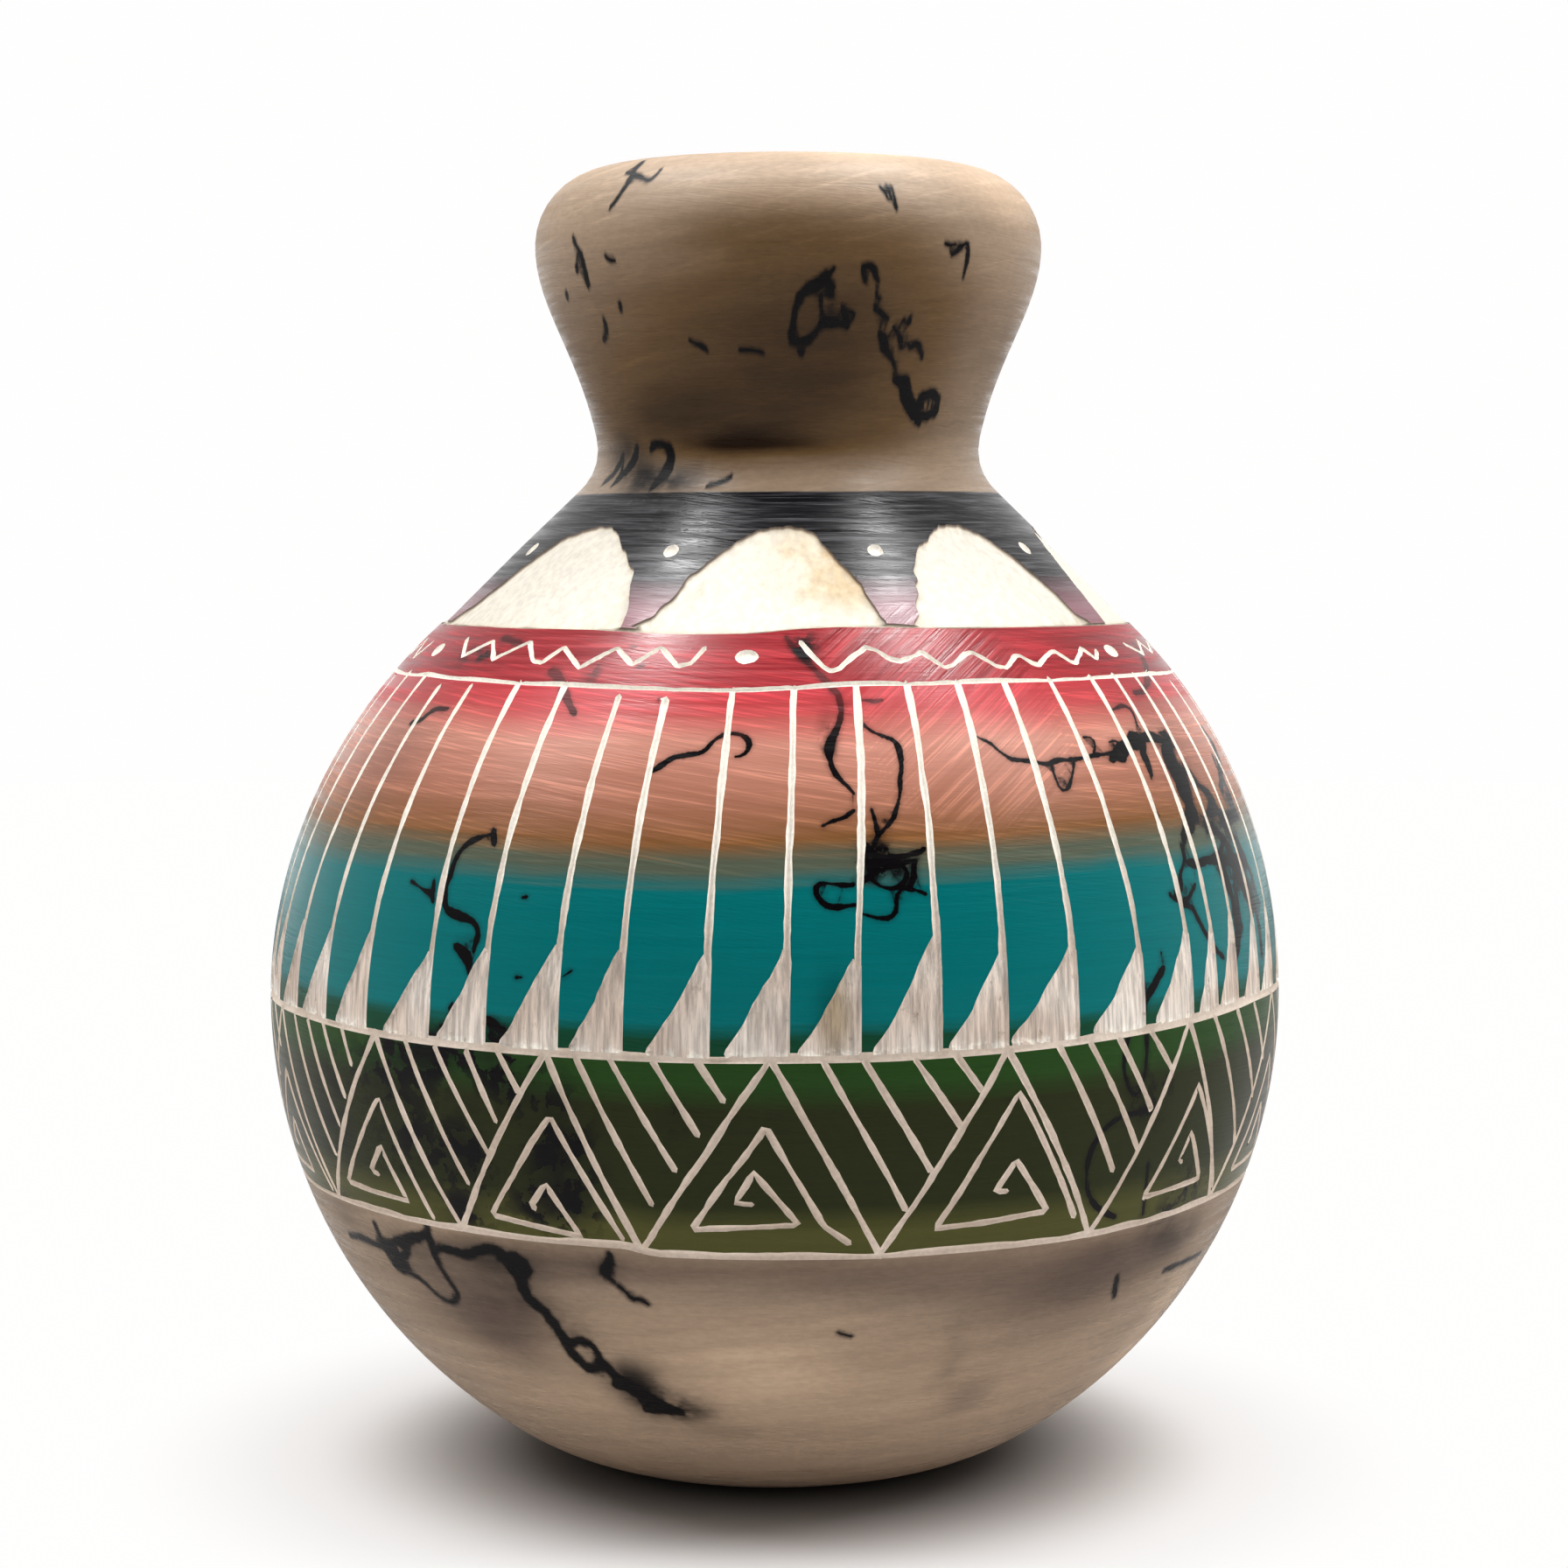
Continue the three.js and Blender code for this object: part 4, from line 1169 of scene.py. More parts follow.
def wall_sheet(chart, cuts, marks, grid):
    """Triangulates the chart so that every outline of a cut and of a burn is a chain of its edges."""
    points, edges = [], []
    count = 0

    def add(line):
        nonlocal count
        points.append(line)
        edges.extend((count + i, count + i + 1) for i in range(len(line) - 1))
        count += len(line)

    top, half = chart.wall.length, chart.half_width
    across = np.linspace(-half, half, COLUMNS + 1)
    up = np.linspace(0, top, SEAM_POINTS)
    for way in (0, top):
        add(np.column_stack([across, np.full_like(across, way)]))
    for side in (-half, half):
        add(np.column_stack([np.full_like(up, side), up]))
    for shape in (*cuts, *marks):
        for line in shape.rails():
            add(line)
    rows = np.arange(grid, top - grid / 2, grid * ROW_GAP)
    columns = int(2 * half / grid)
    spots = (np.arange(columns) + 0.5) * 2 * half / columns - half
    field = np.stack(np.meshgrid(spots, rows), axis=-1)
    field[::2, :, 0] += half / columns
    field = field.reshape(-1, 2)
    field = field[np.abs(field[:, 0]) < half - grid / 3]
    gap = nearest(cuts, field, 1.0)[0]
    field = field[(gap > CLEAR_OF_CUTS * grid / 2) | (gap < -DEEP_IN_CUT)]
    field = field[nearest(marks, field, 1.0)[0] > CLEAR_OF_HAIRS * grid / 2]
    points.append(field)
    flat = np.vstack(points)
    out = delaunay_2d_cdt(flat.tolist(), edges, [], 0, SNAP)
    where = np.array([tuple(p) for p in out[0]])
    faces = np.array(out[2], dtype=int)
    corners = where[faces]
    middle = corners.mean(axis=1)
    a, b = corners[:, 1] - corners[:, 0], corners[:, 2] - corners[:, 0]
    size = a[:, 0] * b[:, 1] - a[:, 1] * b[:, 0]
    keep = (np.abs(middle[:, 0]) < half) & (np.abs(size) > NO_AREA)
    keep &= (middle[:, 1] > 0) & (middle[:, 1] < top)
    faces, size = faces[keep], size[keep]
    faces[size < 0] = faces[size < 0][:, ::-1]
    used, faces = np.unique(faces, return_inverse=True)
    return where[used], faces.reshape(-1, 3)


def revolved(section, offset, turns):
    """A profile carried round the axis: each ring's radius turned by the given angles."""
    sin, cos = sin_cos(turns)
    radius, height = section.T
    x = radius[:, None] * sin + offset(height)[0][:, None]
    y = -radius[:, None] * cos
    points = np.stack([x, y, np.broadcast_to(height[:, None], x.shape)], axis=-1)
    across = len(turns)
    i, j = np.meshgrid(np.arange(len(radius) - 1), np.arange(across - 1), indexing="ij")
    a = i * across + j
    quads = np.stack([a, a + 1, a + 1 + across, a + across], axis=-1).reshape(-1, 4)
    return points.reshape(-1, 3), np.vstack([quads[:, [0, 1, 2]], quads[:, [0, 2, 3]]])


def bake_map(turn, share, turns, rows, triangles):
    """Where each corner lies on the bake map: the two faces as two sheets, the two caps as discs."""
    outer = np.column_stack([(turn + 180) / 360, share * OUTER_SHARE])
    across, up = np.meshgrid((turns + 180) / 360, np.linspace(*INNER_SHARE, rows))
    inner = np.column_stack([across.ravel(), up.ravel()])
    circle = DISC_RADIUS * np.column_stack(sin_cos(turns))
    corners = np.vstack([outer, inner, circle + FOOT_SPOT, [FOOT_SPOT, FLOOR_SPOT]])[triangles]
    step = np.arange(COLUMNS)
    corners[-COLUMNS:, :2] = (circle + FLOOR_SPOT)[np.column_stack([step, step + 1])]
    return corners.reshape(-1, 2)


def vessel_arrays(s, o):
    """The clay body as arrays: points, triangles, kinds, values at points, map and normals at corners."""
    rng = np.random.default_rng(SEED)
    wall = Wall(s)
    chart = Chart(wall)
    sight = Sight(wall)
    cuts = round_copies(carving(chart, sight, o, rng), chart, CUT_REACH)
    marks = round_copies(burns(chart, sight, rng), chart, MARK_REACH)
    where, faces = wall_sheet(chart, cuts, marks, o["grid"])
    turn = where[:, 0] / chart.per_degree
    height = wall.height_at(where[:, 1])
    depth_at = nearest(cuts, where, EDGE_REACH)[0]
    share = np.clip(-depth_at / o["bevel"], 0, 1)
    depth = o["depth"] * share * share * (3 - 2 * share)
    outer, normal = wall.place(turn, where[:, 1], depth)
    gap, number = nearest(cuts, where[faces].mean(axis=1), 0.5)
    codes = np.array([KINDS.index(cut.kind) for cut in cuts])
    kind = np.where(gap < 0, codes[number], 0)

    turns = np.linspace(-180, 180, COLUMNS + 1)
    sin, cos = sin_cos(turns)
    inner, inner_faces = revolved(inner_section(s), wall.offset, turns)
    rows = len(inner) // len(turns)
    rim = s["foot_radius"] * np.column_stack([sin, -cos, np.zeros(len(turns))])
    caps = np.array([(0, 0, 0), (0, 0, s["floor"])])
    points = np.vstack([outer, inner, rim, caps])
    first_inner, first_rim = len(outer), len(outer) + len(inner)
    foot_centre, floor_centre = len(points) - 2, len(points) - 1
    step = np.arange(COLUMNS)
    last_ring = first_inner + (rows - 1) * len(turns)
    foot = np.column_stack([np.full(COLUMNS, foot_centre), first_rim + step + 1, first_rim + step])
    floor = np.column_stack([last_ring + step, last_ring + step + 1, np.full(COLUMNS, floor_centre)])
    triangles = np.vstack([faces, inner_faces + first_inner, foot, floor])
    plain, inside = KINDS.index("painted"), KINDS.index("inside")
    kinds = np.concatenate(
        [kind, np.full(len(inner_faces), inside), np.full(COLUMNS, plain), np.full(COLUMNS, inside)]
    )

    def filled(values, at_inner, at_foot):
        """Values of the outer face's points, then those of the inner face's and one for the foot's."""
        rest = len(points) - len(outer) - len(inner)
        return np.concatenate([values, np.broadcast_to(at_inner, len(inner)), np.full(rest, at_foot)])

    at_points = {
        "band": filled(band_level(turn, height), inner[:, 2], 0.0),
        "burn": filled(nearest(marks, where, BURN_REACH)[0], BURN_REACH, BURN_REACH),
        "edge": filled(depth_at, EDGE_REACH, EDGE_REACH),
    }
    for name, clouds in STAINS_AND_PAINTED_LIGHT.items():
        at_points[name] = filled(blots(clouds, turn, height, chart), 0.0, 0.0)
    corner_map = bake_map(turn, where[:, 1] / wall.length, turns, rows, triangles)
    normals = np.zeros((len(triangles), 3, 3))
    painted = np.flatnonzero(kind == plain)
    normals[painted] = normal[faces[painted]]
    return points * MM, triangles, kinds, at_points, corner_map, normals.reshape(-1, 3)


def read(items, name, kind, size=1):
    """One property of all items of a mesh, as an array."""
    values = np.zeros(len(items) * size, kind)
    items.foreach_get(name, values)
    return values


def made_mesh(name, points, triangles, kinds, at_points, corner_map, normals):
    """The arrays as a mesh, its coinciding points merged and the cuts' edges kept crisp."""
    mesh = bpy.data.meshes.new(name)
    mesh.vertices.add(len(points))
    mesh.vertices.foreach_set("co", points.ravel())
    mesh.loops.add(triangles.size)
    mesh.loops.foreach_set("vertex_index", triangles.ravel().astype(np.int32))
    mesh.polygons.add(len(triangles))
    mesh.polygons.foreach_set("loop_start", np.arange(0, triangles.size, 3, dtype=np.int32))
    mesh.polygons.foreach_set("material_index", kinds.astype(np.int32))
    mesh.update(calc_edges=True)
    for key, values in at_points.items():
        mesh.attributes.new(key, "FLOAT", "POINT").data.foreach_set("value", values.astype(np.float32))
    mesh.uv_layers.new(name="OFBake").data.foreach_set("uv", corner_map.astype(np.float32).ravel())
    smooth = mesh.attributes.new("smooth_normal", "FLOAT_VECTOR", "CORNER")
    smooth.data.foreach_set("vector", normals.astype(np.float32).ravel())
    merged = bmesh.new()
    merged.from_mesh(mesh)
    bmesh.ops.remove_doubles(merged, verts=merged.verts, dist=SAME_POINT)
    merged.to_mesh(mesh)
    merged.free()
    mesh.validate()
    mesh.shade_smooth()

    kind = read(mesh.polygons, "material_index", np.int32)
    edge_of = read(mesh.loops, "edge_index", np.int32)
    plain = np.isin(kind, (KINDS.index("painted"), KINDS.index("inside")))
    plain = np.repeat(plain, read(mesh.polygons, "loop_total", np.int32))
    counts = [np.bincount(edge_of[mask], minlength=len(mesh.edges)) for mask in (plain, ~plain)]
    sharp = (counts[0] > 0) & (counts[1] > 0)
    mesh.attributes.new("sharp_edge", "BOOLEAN", "EDGE").data.foreach_set("value", sharp)
    kept = read(mesh.attributes["smooth_normal"].data, "vector", np.float32, 3)
    mesh.normals_split_custom_set(kept.reshape(-1, 3).tolist())
    mesh.attributes.remove(mesh.attributes["smooth_normal"])
    return mesh


class Value:
    """A number or a colour on its way through a material's nodes; sums are written as in Python."""

    def __init__(self, tree, socket):
        self.tree, self.socket = tree, socket

    def calculated(self, operation, *inputs):
        """The result of one Math node."""
        node = self.tree.nodes.new("ShaderNodeMath")
        node.operation = operation
        for socket, value in zip(node.inputs, inputs):
            feed(self.tree, socket, value)
        return Value(self.tree, node.outputs[0])

    def __add__(self, other):
        return self.calculated("ADD", self, other)

    __radd__ = __add__

    def __sub__(self, other):
        return self.calculated("SUBTRACT", self, other)

    def __rsub__(self, other):
        return self.calculated("SUBTRACT", other, self)

    def __mul__(self, other):
        return self.calculated("MULTIPLY", self, other)

    __rmul__ = __mul__

    def __pow__(self, other):
        return self.calculated("POWER", self, other)


def feed(tree, socket, value):
    """Links a value's socket, or sets a plain number or colour."""
    if isinstance(value, Value):
        tree.links.new(value.socket, socket)
    elif socket.type == "RGBA" and len(value) == 3:
        socket.default_value = (*value, 1.0)
    else:
        socket.default_value = value


class Finish:
    """A node material under construction."""

    def __init__(self, name, roughness=0.5, **constants):
        self.material = bpy.data.materials.new(name)
        self.material.use_nodes = True
        self.tree = self.material.node_tree
        self.surface = self.tree.nodes["Principled BSDF"]
        self.surface.inputs["Roughness"].default_value = roughness
        for key, value in constants.items():
            self.surface.inputs[key.replace("_", " ")].default_value = value
        self.place = self.node("ShaderNodeTexCoord", output="Object")

    def node(self, kind, settings=(), stops=(), sockets=(), output=0):
        """Adds a node, with its settings, a ramp's stops and its sockets; returns one of its outputs."""
        node = self.tree.nodes.new(kind)
        for key, value in dict(settings).items():
            setattr(node, key, value)
        if stops:
            ramp = node.color_ramp.elements
            while len(ramp) < len(stops):
                ramp.new(1.0)
            for element, (position, tint) in zip(ramp, stops):
                element.position, element.color = position, (*tint, 1.0)
        for key, value in dict(sockets).items():
            feed(self.tree, node.inputs[key], value)
        return Value(self.tree, node.outputs[output])

    def attribute(self, name):
        """A value kept at the mesh's points."""
        return self.node("ShaderNodeAttribute", {"attribute_name": name}, output="Fac")

    def scaled(self, vector, factors):
        """A vector stretched along its axes."""
        return self.node("ShaderNodeVectorMath", {"operation": "MULTIPLY"}, sockets={0: vector, 1: factors})

    def turned(self, vector, axis, degrees):
        """A vector turned about an axis."""
        settings = {"rotation_type": "AXIS_ANGLE"}
        sockets = {"Vector": vector, "Axis": axis, "Angle": float(np.radians(degrees))}
        return self.node("ShaderNodeVectorRotate", settings, sockets=sockets)

    def noise(self, scale, detail=2.0, rough=0.5, warp=0.0, place=None):
        """Cloudy noise, 0 to 1; scale gives the waves in a metre, along each axis or along all three."""
        factors = scale if isinstance(scale, tuple) else (scale, scale, scale)
        vector = self.scaled(place or self.place, factors)
        sockets = {"Vector": vector, "Scale": 1.0, "Detail": detail, "Roughness": rough, "Distortion": warp}
        return self.node("ShaderNodeTexNoise", sockets=sockets)

    def smooth(self, value, start, end, low=0.0, high=1.0):
        """An S-shaped step from low, where the value is start, to high, where it is end."""
        settings = {"interpolation_type": "SMOOTHSTEP"}
        sockets = {"Value": value, "From Min": start, "From Max": end, "To Min": low, "To Max": high}
        return self.node("ShaderNodeMapRange", settings, sockets=sockets, output="Result")

    def mix(self, factor, first, second):
        """Two colours mixed."""
        settings = {"data_type": "RGBA", "clamp_factor": True}
        return self.node("ShaderNodeMix", settings, sockets={0: factor, 6: first, 7: second}, output=2)

    def ramp(self, value, low, high, stops):
        """Colours by a value between low and high; each stop is (value, colour)."""
        sockets = {"Value": value, "From Min": low, "From Max": high}
        share = self.node("ShaderNodeMapRange", sockets=sockets, output="Result")
        inner = [((stop - low) / (high - low), tint) for stop, tint in stops]
        return self.node("ShaderNodeValToRGB", stops=inner, sockets={"Fac": share}, output="Color")

    def shade(self, tint, amount):
        """A colour made lighter or darker by a value about 1."""
        return self.node("ShaderNodeVectorMath", {"operation": "SCALE"}, sockets={0: tint, "Scale": amount})

    def bump(self, height, distance, strength):
        """Feeds small relief to the surface's normal."""
        sockets = {"Height": height, "Distance": distance, "Strength": strength}
        self.set("Normal", self.node("ShaderNodeBump", sockets=sockets, output="Normal"))

    def set(self, name, value):
        """Feeds one of the surface's own sockets."""
        feed(self.tree, self.surface.inputs[name], value)


# Linear colours that only one surface uses
# grey of the painted sheen streaks on the black band
PAINTED_SHEEN_GREY = (0.33, 0.33, 0.35)
TAN = (0.66, 0.50, 0.30)
PALE_TAN = (0.66, 0.52, 0.34)
# painted shade along the arches' edges
PAINTED_EDGE_SHADE = (0.06, 0.03, 0.02)
DUSTY_LINE = ((0.70, 0.60, 0.51), (0.60, 0.50, 0.41))
DUSTY_NOTCH = ((0.68, 0.56, 0.47), (0.84, 0.76, 0.68))
SMOKED_NOTCH = (0.36, 0.27, 0.16)
CRUMB = (0.30, 0.23, 0.16)
PAPER = (0.88, 0.86, 0.85)
PAPER_LIGHT = (1.0, 0.995, 0.99)
ROOM_LIGHT = (1.0, 0.992, 0.99)

FACING = (0, 1, 0)  # the axis through the vase's face, about which the brush leans
BRUSH_WAVES = (26, 26, 1000)
SCRATCH_WAVES = (60, 60, 3000)


def burnt(f, tint, c, soft, specks):
    """Hair burns over a colour: solid soot inside the hair's line, a smoky halo and clouds round it."""
    burn = f.attribute("burn")
    fray = (f.noise(900, 3.0, 0.6) - 0.5) * 0.4
    band = f.attribute("band")
    faint = f.smooth(band, 117, 126) * f.smooth(band, 150, 140) * 0.5
    core = f.smooth(burn + fray, 0.1, -0.1) * (1 - faint)
    patch = f.noise(160, 3.0, 0.6)
    blotch = f.smooth(f.noise(300, 4.0, 0.6), 0.5, 0.54)
    halo = f.smooth(burn + fray * 2, 1.5, -0.2) ** 2.0 * soft
    cloud = f.attribute("smoke") * (f.smooth(patch, 0.25, 0.6, 0.6, 1.3) + blotch * specks)
    tint = f.mix(f.smooth(halo + cloud * 0.85, 0.0, 1.1), tint, c["soot"])
    return f.mix(core * f.smooth(patch, 0.2, 0.4, 0.9, 1.0), tint, c["soot"])


def brushwork(f):
    """Level brush marks, the same where they lean with the painter's hand, and fine scratches."""
    lean = f.smooth(f.attribute("slant"), 0.2, 0.6)
    dip = f.smooth(f.attribute("dip"), 0.15, 0.5) * (1 - lean)
    leaning, dipping = (f.turned(f.place, FACING, degrees) for degrees in (42, -9))
    level, slanting, falling = (f.noise(BRUSH_WAVES, 4.0, 0.6, 0.1, at) for at in (None, leaning, dipping))
    brush = slanting * lean + falling * dip + level * (1 - lean - dip)
    rising, sinking = (f.noise(SCRATCH_WAVES, 2.0, 0.6, 0.1, at) for at in (leaning, dipping))
    return level, brush, rising * lean + sinking * (1 - lean)


def bare_clay(f, c, band, fume, cloudy):
    """Burnished clay: greyed at the base, browned by the fire, darker just above the crease, with the marks
    of the burnishing, and painted light: lighter at the rim, low on the base and where a stain is negative.
    """
    above_foot = f.smooth(band, 40, 60)
    stain_and_painted_light = fume * f.smooth(cloudy, 0.25, 0.7, 0.8, 1.1)
    burnish = f.noise((24, 24, 420), 4.0, 0.6, place=f.turned(f.place, FACING, 7))
    worn = f.noise((60, 60, 900), 4.0, 0.6, place=f.turned(f.place, FACING, 16))
    grain = f.noise((700, 700, 1500), 2.0, 0.6)
    clay = f.mix(f.smooth(stain_and_painted_light, 0.0, 0.5), c["clay"], f.mix(above_foot, c["clay_grey"], c["clay_brown"]))
    clay = f.mix(f.smooth(stain_and_painted_light, 0.4, 1.0), clay, c["clay_dark"])
    marks = f.smooth(burnish, 0.2, 0.8, 0.86, 1.1) + f.smooth(worn, 0.55, 0.75, 0.0, 0.22) * above_foot
    clay = f.shade(f.shade(clay, marks), f.smooth(grain, 0.25, 0.75, 0.93, 1.07))
    neck = f.smooth(band, 154, 162) * f.smooth(band, 192, 180)
    # painted light: lighter towards the rim's top and low on the base, as light falls there, and lighter
    # where a stain is negative; the neck is made darker
    painted_light = 1 + f.smooth(band, 190, 203, 0.0, 0.5) + f.smooth(band, 34, 18, 0.0, 0.22)
    return stain_and_painted_light, f.shade(clay, painted_light - neck * 0.12 + f.smooth(stain_and_painted_light, 0.0, -0.5, 0.0, 0.6))


def slips(f, c, band, brush, cloudy):
    """The painted bands from the lowest up: green, the feathers' blend, red, and dusk to black."""
    drift = (brush - 0.5) * 3.0 + (cloudy - 0.5) * 3.4
    low = f.ramp(band + drift * 0.4, 40, 80, [
        (46.8, c["moss"]), (50.0, c["moss"]), (54.0, c["olive"]), (67.5, c["olive"]),
        (71.2, c["leaf"]), (75, c["leaf"]),
    ])
    feather = f.ramp(band + drift, 70, 130, [
        (75.4, c["pine"]), (77.2, c["pine"]), (79.6, c["teal"]), (97.4, c["teal"]),
        (100.4, c["sage"]), (101.6, c["sage"]), (104.0, c["ochre"]), (109.5, c["copper"]),
        (117.0, c["salmon"]), (121.3, c["rose"]), (125.0, c["pink"]),
    ])
    red = f.shade(c["red"], f.smooth(brush, 0.25, 0.75, 0.8, 1.3))
    shoulder = f.ramp(band + drift * 0.5, 125, 155, [
        (126.0, c["red"]), (133.2, c["dusk"]), (134.6, c["dusk"]), (139.5, c["black"]),
        (152, c["black"]),
    ])
    return low, feather, red, shoulder


def slip_and_clay(c):
    """The burnished outer face: bare clay on neck and foot, painted slips in bands between."""
    f = Finish("slip_and_clay", 0.3, Specular_IOR_Level=0.15)
    band = f.attribute("band")
    streak, brush, scratch = brushwork(f)
    fine = f.noise((60, 60, 2600), 3.0, 0.7)
    cloudy = f.noise((26, 26, 60), 3.0, 0.55)
    fume, clay = bare_clay(f, c, band, f.attribute("fume"), cloudy)

    def above(edge):
        return band.calculated("GREATER_THAN", band, edge)

    tint = clay
    levels = (FOOT_LEVEL, NOTCH_LEVEL, FEATHER_LEVEL, TOP_LEVEL)
    for level, slip in zip(levels, slips(f, c, band, brush, cloudy)):
        tint = f.mix(above(level), tint, slip)
    ragged = band + (streak - 0.5) * 0.8
    tint = f.mix(f.smooth(ragged, BLACK_LEVEL - 0.12, BLACK_LEVEL + 0.12), tint, clay)
    under_black = 1 - above(BLACK_LEVEL)
    painted = above(FOOT_LEVEL) * under_black
    # painted sheen: lighter grey streaks over the black band stand in for its streaky gloss
    painted_sheen_streaks = f.smooth(fine, 0.46, 0.7, 0.0, 0.24) * f.smooth(band, 133, 139) * under_black
    tint = f.mix(painted_sheen_streaks, tint, PAINTED_SHEEN_GREY)
    # lighter brush ridges above the teal: partly the paint's own streaks, partly painted glints where the
    # ridges catch the light
    ridges_and_painted_glints = f.smooth(scratch, 0.5, 0.62) * f.smooth(brush, 0.3, 0.6)
    ridges_and_painted_glints = ridges_and_painted_glints * f.smooth(band, 97, 104) * (1 - above(TOP_LEVEL))
    lively = painted * f.smooth(band, 94, 104, 0.45, 1.0)
    marks = (brush - 0.5) * lively * 0.35 + (fine - 0.5) * painted * 0.25 + ridges_and_painted_glints * 0.42
    tint = f.shade(tint, 1 + marks)
    # painted shade: the stains darken the slip, most on the belly's sides
    tint = f.shade(tint, 1 - f.smooth(fume, 0.0, 1.0, 0.0, 0.6) * painted)
    f.set("Base Color", burnt(f, tint, c, 0.45 + (1 - painted) * 0.4, painted * 1.3))
    calm = f.smooth(band, 104, 96, 0.0, 0.65) * painted
    dull = (1 - painted) * 0.04 + f.smooth(band, 186, 196, 0.0, 0.22)
    f.set("Roughness", 0.17 + f.smooth(brush, 0.3, 0.7, 0.0, 0.2) * (1 - calm) + dull)
    deep = 1 + f.smooth(band, 122, 128) * under_black * 0.8
    f.bump((brush * 0.5 + scratch * 0.3 + fine * 0.2) * deep, 0.00016, 0.9)
    return f.material


def arch_clay(c):
    """The arches' bare pale clay, scraped clean with upright strokes, tan towards its edge, with a thin
    dark line painted along the edge as shade.
    """
    f = Finish("arch_clay", 0.85, Specular_IOR_Level=0.2)
    scrape = f.noise((900, 900, 50), 3.0, 0.6)
    stain_and_painted_light = f.noise((120, 120, 90), 3.0, 0.6)
    edge = f.attribute("edge") + (stain_and_painted_light - 0.5) * 0.4
    fume = f.attribute("fume")
    tan = f.smooth(stain_and_painted_light, 0.4, 0.62) * f.smooth(fume, 0.05, 0.5)
    tint = f.mix(tan * 0.7 + f.smooth(fume, 0.0, 0.4, 0.0, 0.25), c["cream"], TAN)
    tint = f.mix(f.smooth(stain_and_painted_light, 0.6, 0.75, 0.0, 0.3), tint, PALE_TAN)
    tint = f.mix(f.smooth(edge, -0.9, -0.2, 0.0, 0.3), tint, TAN)
    # painted shade: a thin dark line just inside the arch's edge, where the cut's wall shades it
    tint = f.mix(f.smooth(edge, -0.4, -0.05, 0.0, 0.85), tint, PAINTED_EDGE_SHADE)
    f.set("Base Color", f.shade(tint, f.smooth(scrape, 0.25, 0.75, 0.9, 1.12)))
    f.bump(scrape, 0.0001, 0.3)
    return f.material


def line_clay(c):
    """The strokes' fresh clay, whitest on the shoulder, with crumbs that the tool left."""
    f = Finish("line_clay", 0.85, Specular_IOR_Level=0.2)
    grain = f.noise(1400, 3.0, 0.6)
    tone = f.noise(70)
    high = f.smooth(f.attribute("band") + (tone - 0.5) * 16, 86, 106)
    tint = f.mix(high, f.mix(f.smooth(tone, 0.3, 0.7), *DUSTY_LINE), c["cut"])
    f.set("Base Color", f.shade(tint, f.smooth(grain, 0.2, 0.8, 0.88, 1.08)))
    f.bump(grain, 0.0003, 0.45)
    return f.material


def notch_clay(c):
    """The feathers' notches: clay scraped with many upright pulls, dusty at their feet."""
    f = Finish("notch_clay", 0.85, Specular_IOR_Level=0.2)
    scrape = f.noise((1500, 1500, 90), 4.0, 0.65)
    tone = f.noise(60)
    crumbs = f.noise(420, 3.0, 0.6)
    tint = f.mix(f.smooth(tone, 0.35, 0.65), *DUSTY_NOTCH)
    tint = f.mix(f.smooth(f.attribute("fume"), 0.1, 0.8, 0.0, 0.85), tint, SMOKED_NOTCH)
    tint = f.mix(f.smooth(crumbs, 0.62, 0.74, 0.0, 0.6), tint, CRUMB)
    foot = f.smooth(f.attribute("band") + (crumbs - 0.5) * 4, 76.6, 75.4)
    tint = f.mix(foot * f.smooth(crumbs, 0.45, 0.55), tint, c["cut"])
    f.set("Base Color", f.shade(tint, f.smooth(scrape, 0.3, 0.7, 0.6, 1.16)))
    f.bump(scrape, 0.0006, 0.8)
    return f.material


def inner_clay(c):
    """The unpainted inside: the rim's clay at the lip, painted lighter there like the rim outside, browner
    further in.
    """
    f = Finish("inner_clay", 0.6, Specular_IOR_Level=0.2)
    tone = f.noise((40, 40, 160), 4.0, 0.6)
    painted_light_at_lip = f.smooth(f.attribute("band"), 192, 201)
    tint = f.mix(painted_light_at_lip, f.mix(f.smooth(tone, 0.25, 0.75), c["clay_dark"], c["clay"]), c["clay"])
    # painted light: the lip is painted lighter, like the rim outside
    f.set("Base Color", f.shade(tint, 1 + painted_light_at_lip * 0.46))
    f.bump(tone, 0.0006, 0.5)
    return f.material


def sizes(group):
    """A group's sizes by name: lengths in millimetres, angles in radians, all else as it is."""
    out = {}
    for prop in group.bl_rna.properties:
        if prop.identifier in ("rna_type", "name"):
            continue
        value = getattr(group, prop.identifier)
        if prop.type == "FLOAT" and prop.unit == "LENGTH":
            value = value / MM
        out[prop.identifier] = tuple(value) if getattr(prop, "is_array", False) else value
    return out


class VaseVessel(bpy.types.Operator):
    """Builds the clay body with its carved and painted bands"""

    bl_idname = "mesh.vase_vessel"
    bl_label = "Vase body"

    def execute(self, context):
        scene = context.scene
        arrays = vessel_arrays(sizes(scene.vase_shape), sizes(scene.vase_ornament))
        vessel = bpy.data.objects.new("carved_vessel", made_mesh("carved_vessel", *arrays))
        colours = sizes(scene.vase_finish)
        for finish in (slip_and_clay, arch_clay, line_clay, notch_clay, inner_clay):
            vessel.data.materials.append(finish(colours))
        scene.collection.objects.link(vessel)
        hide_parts(NODE)
        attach(vessel, BODY)
        return {"FINISHED"}


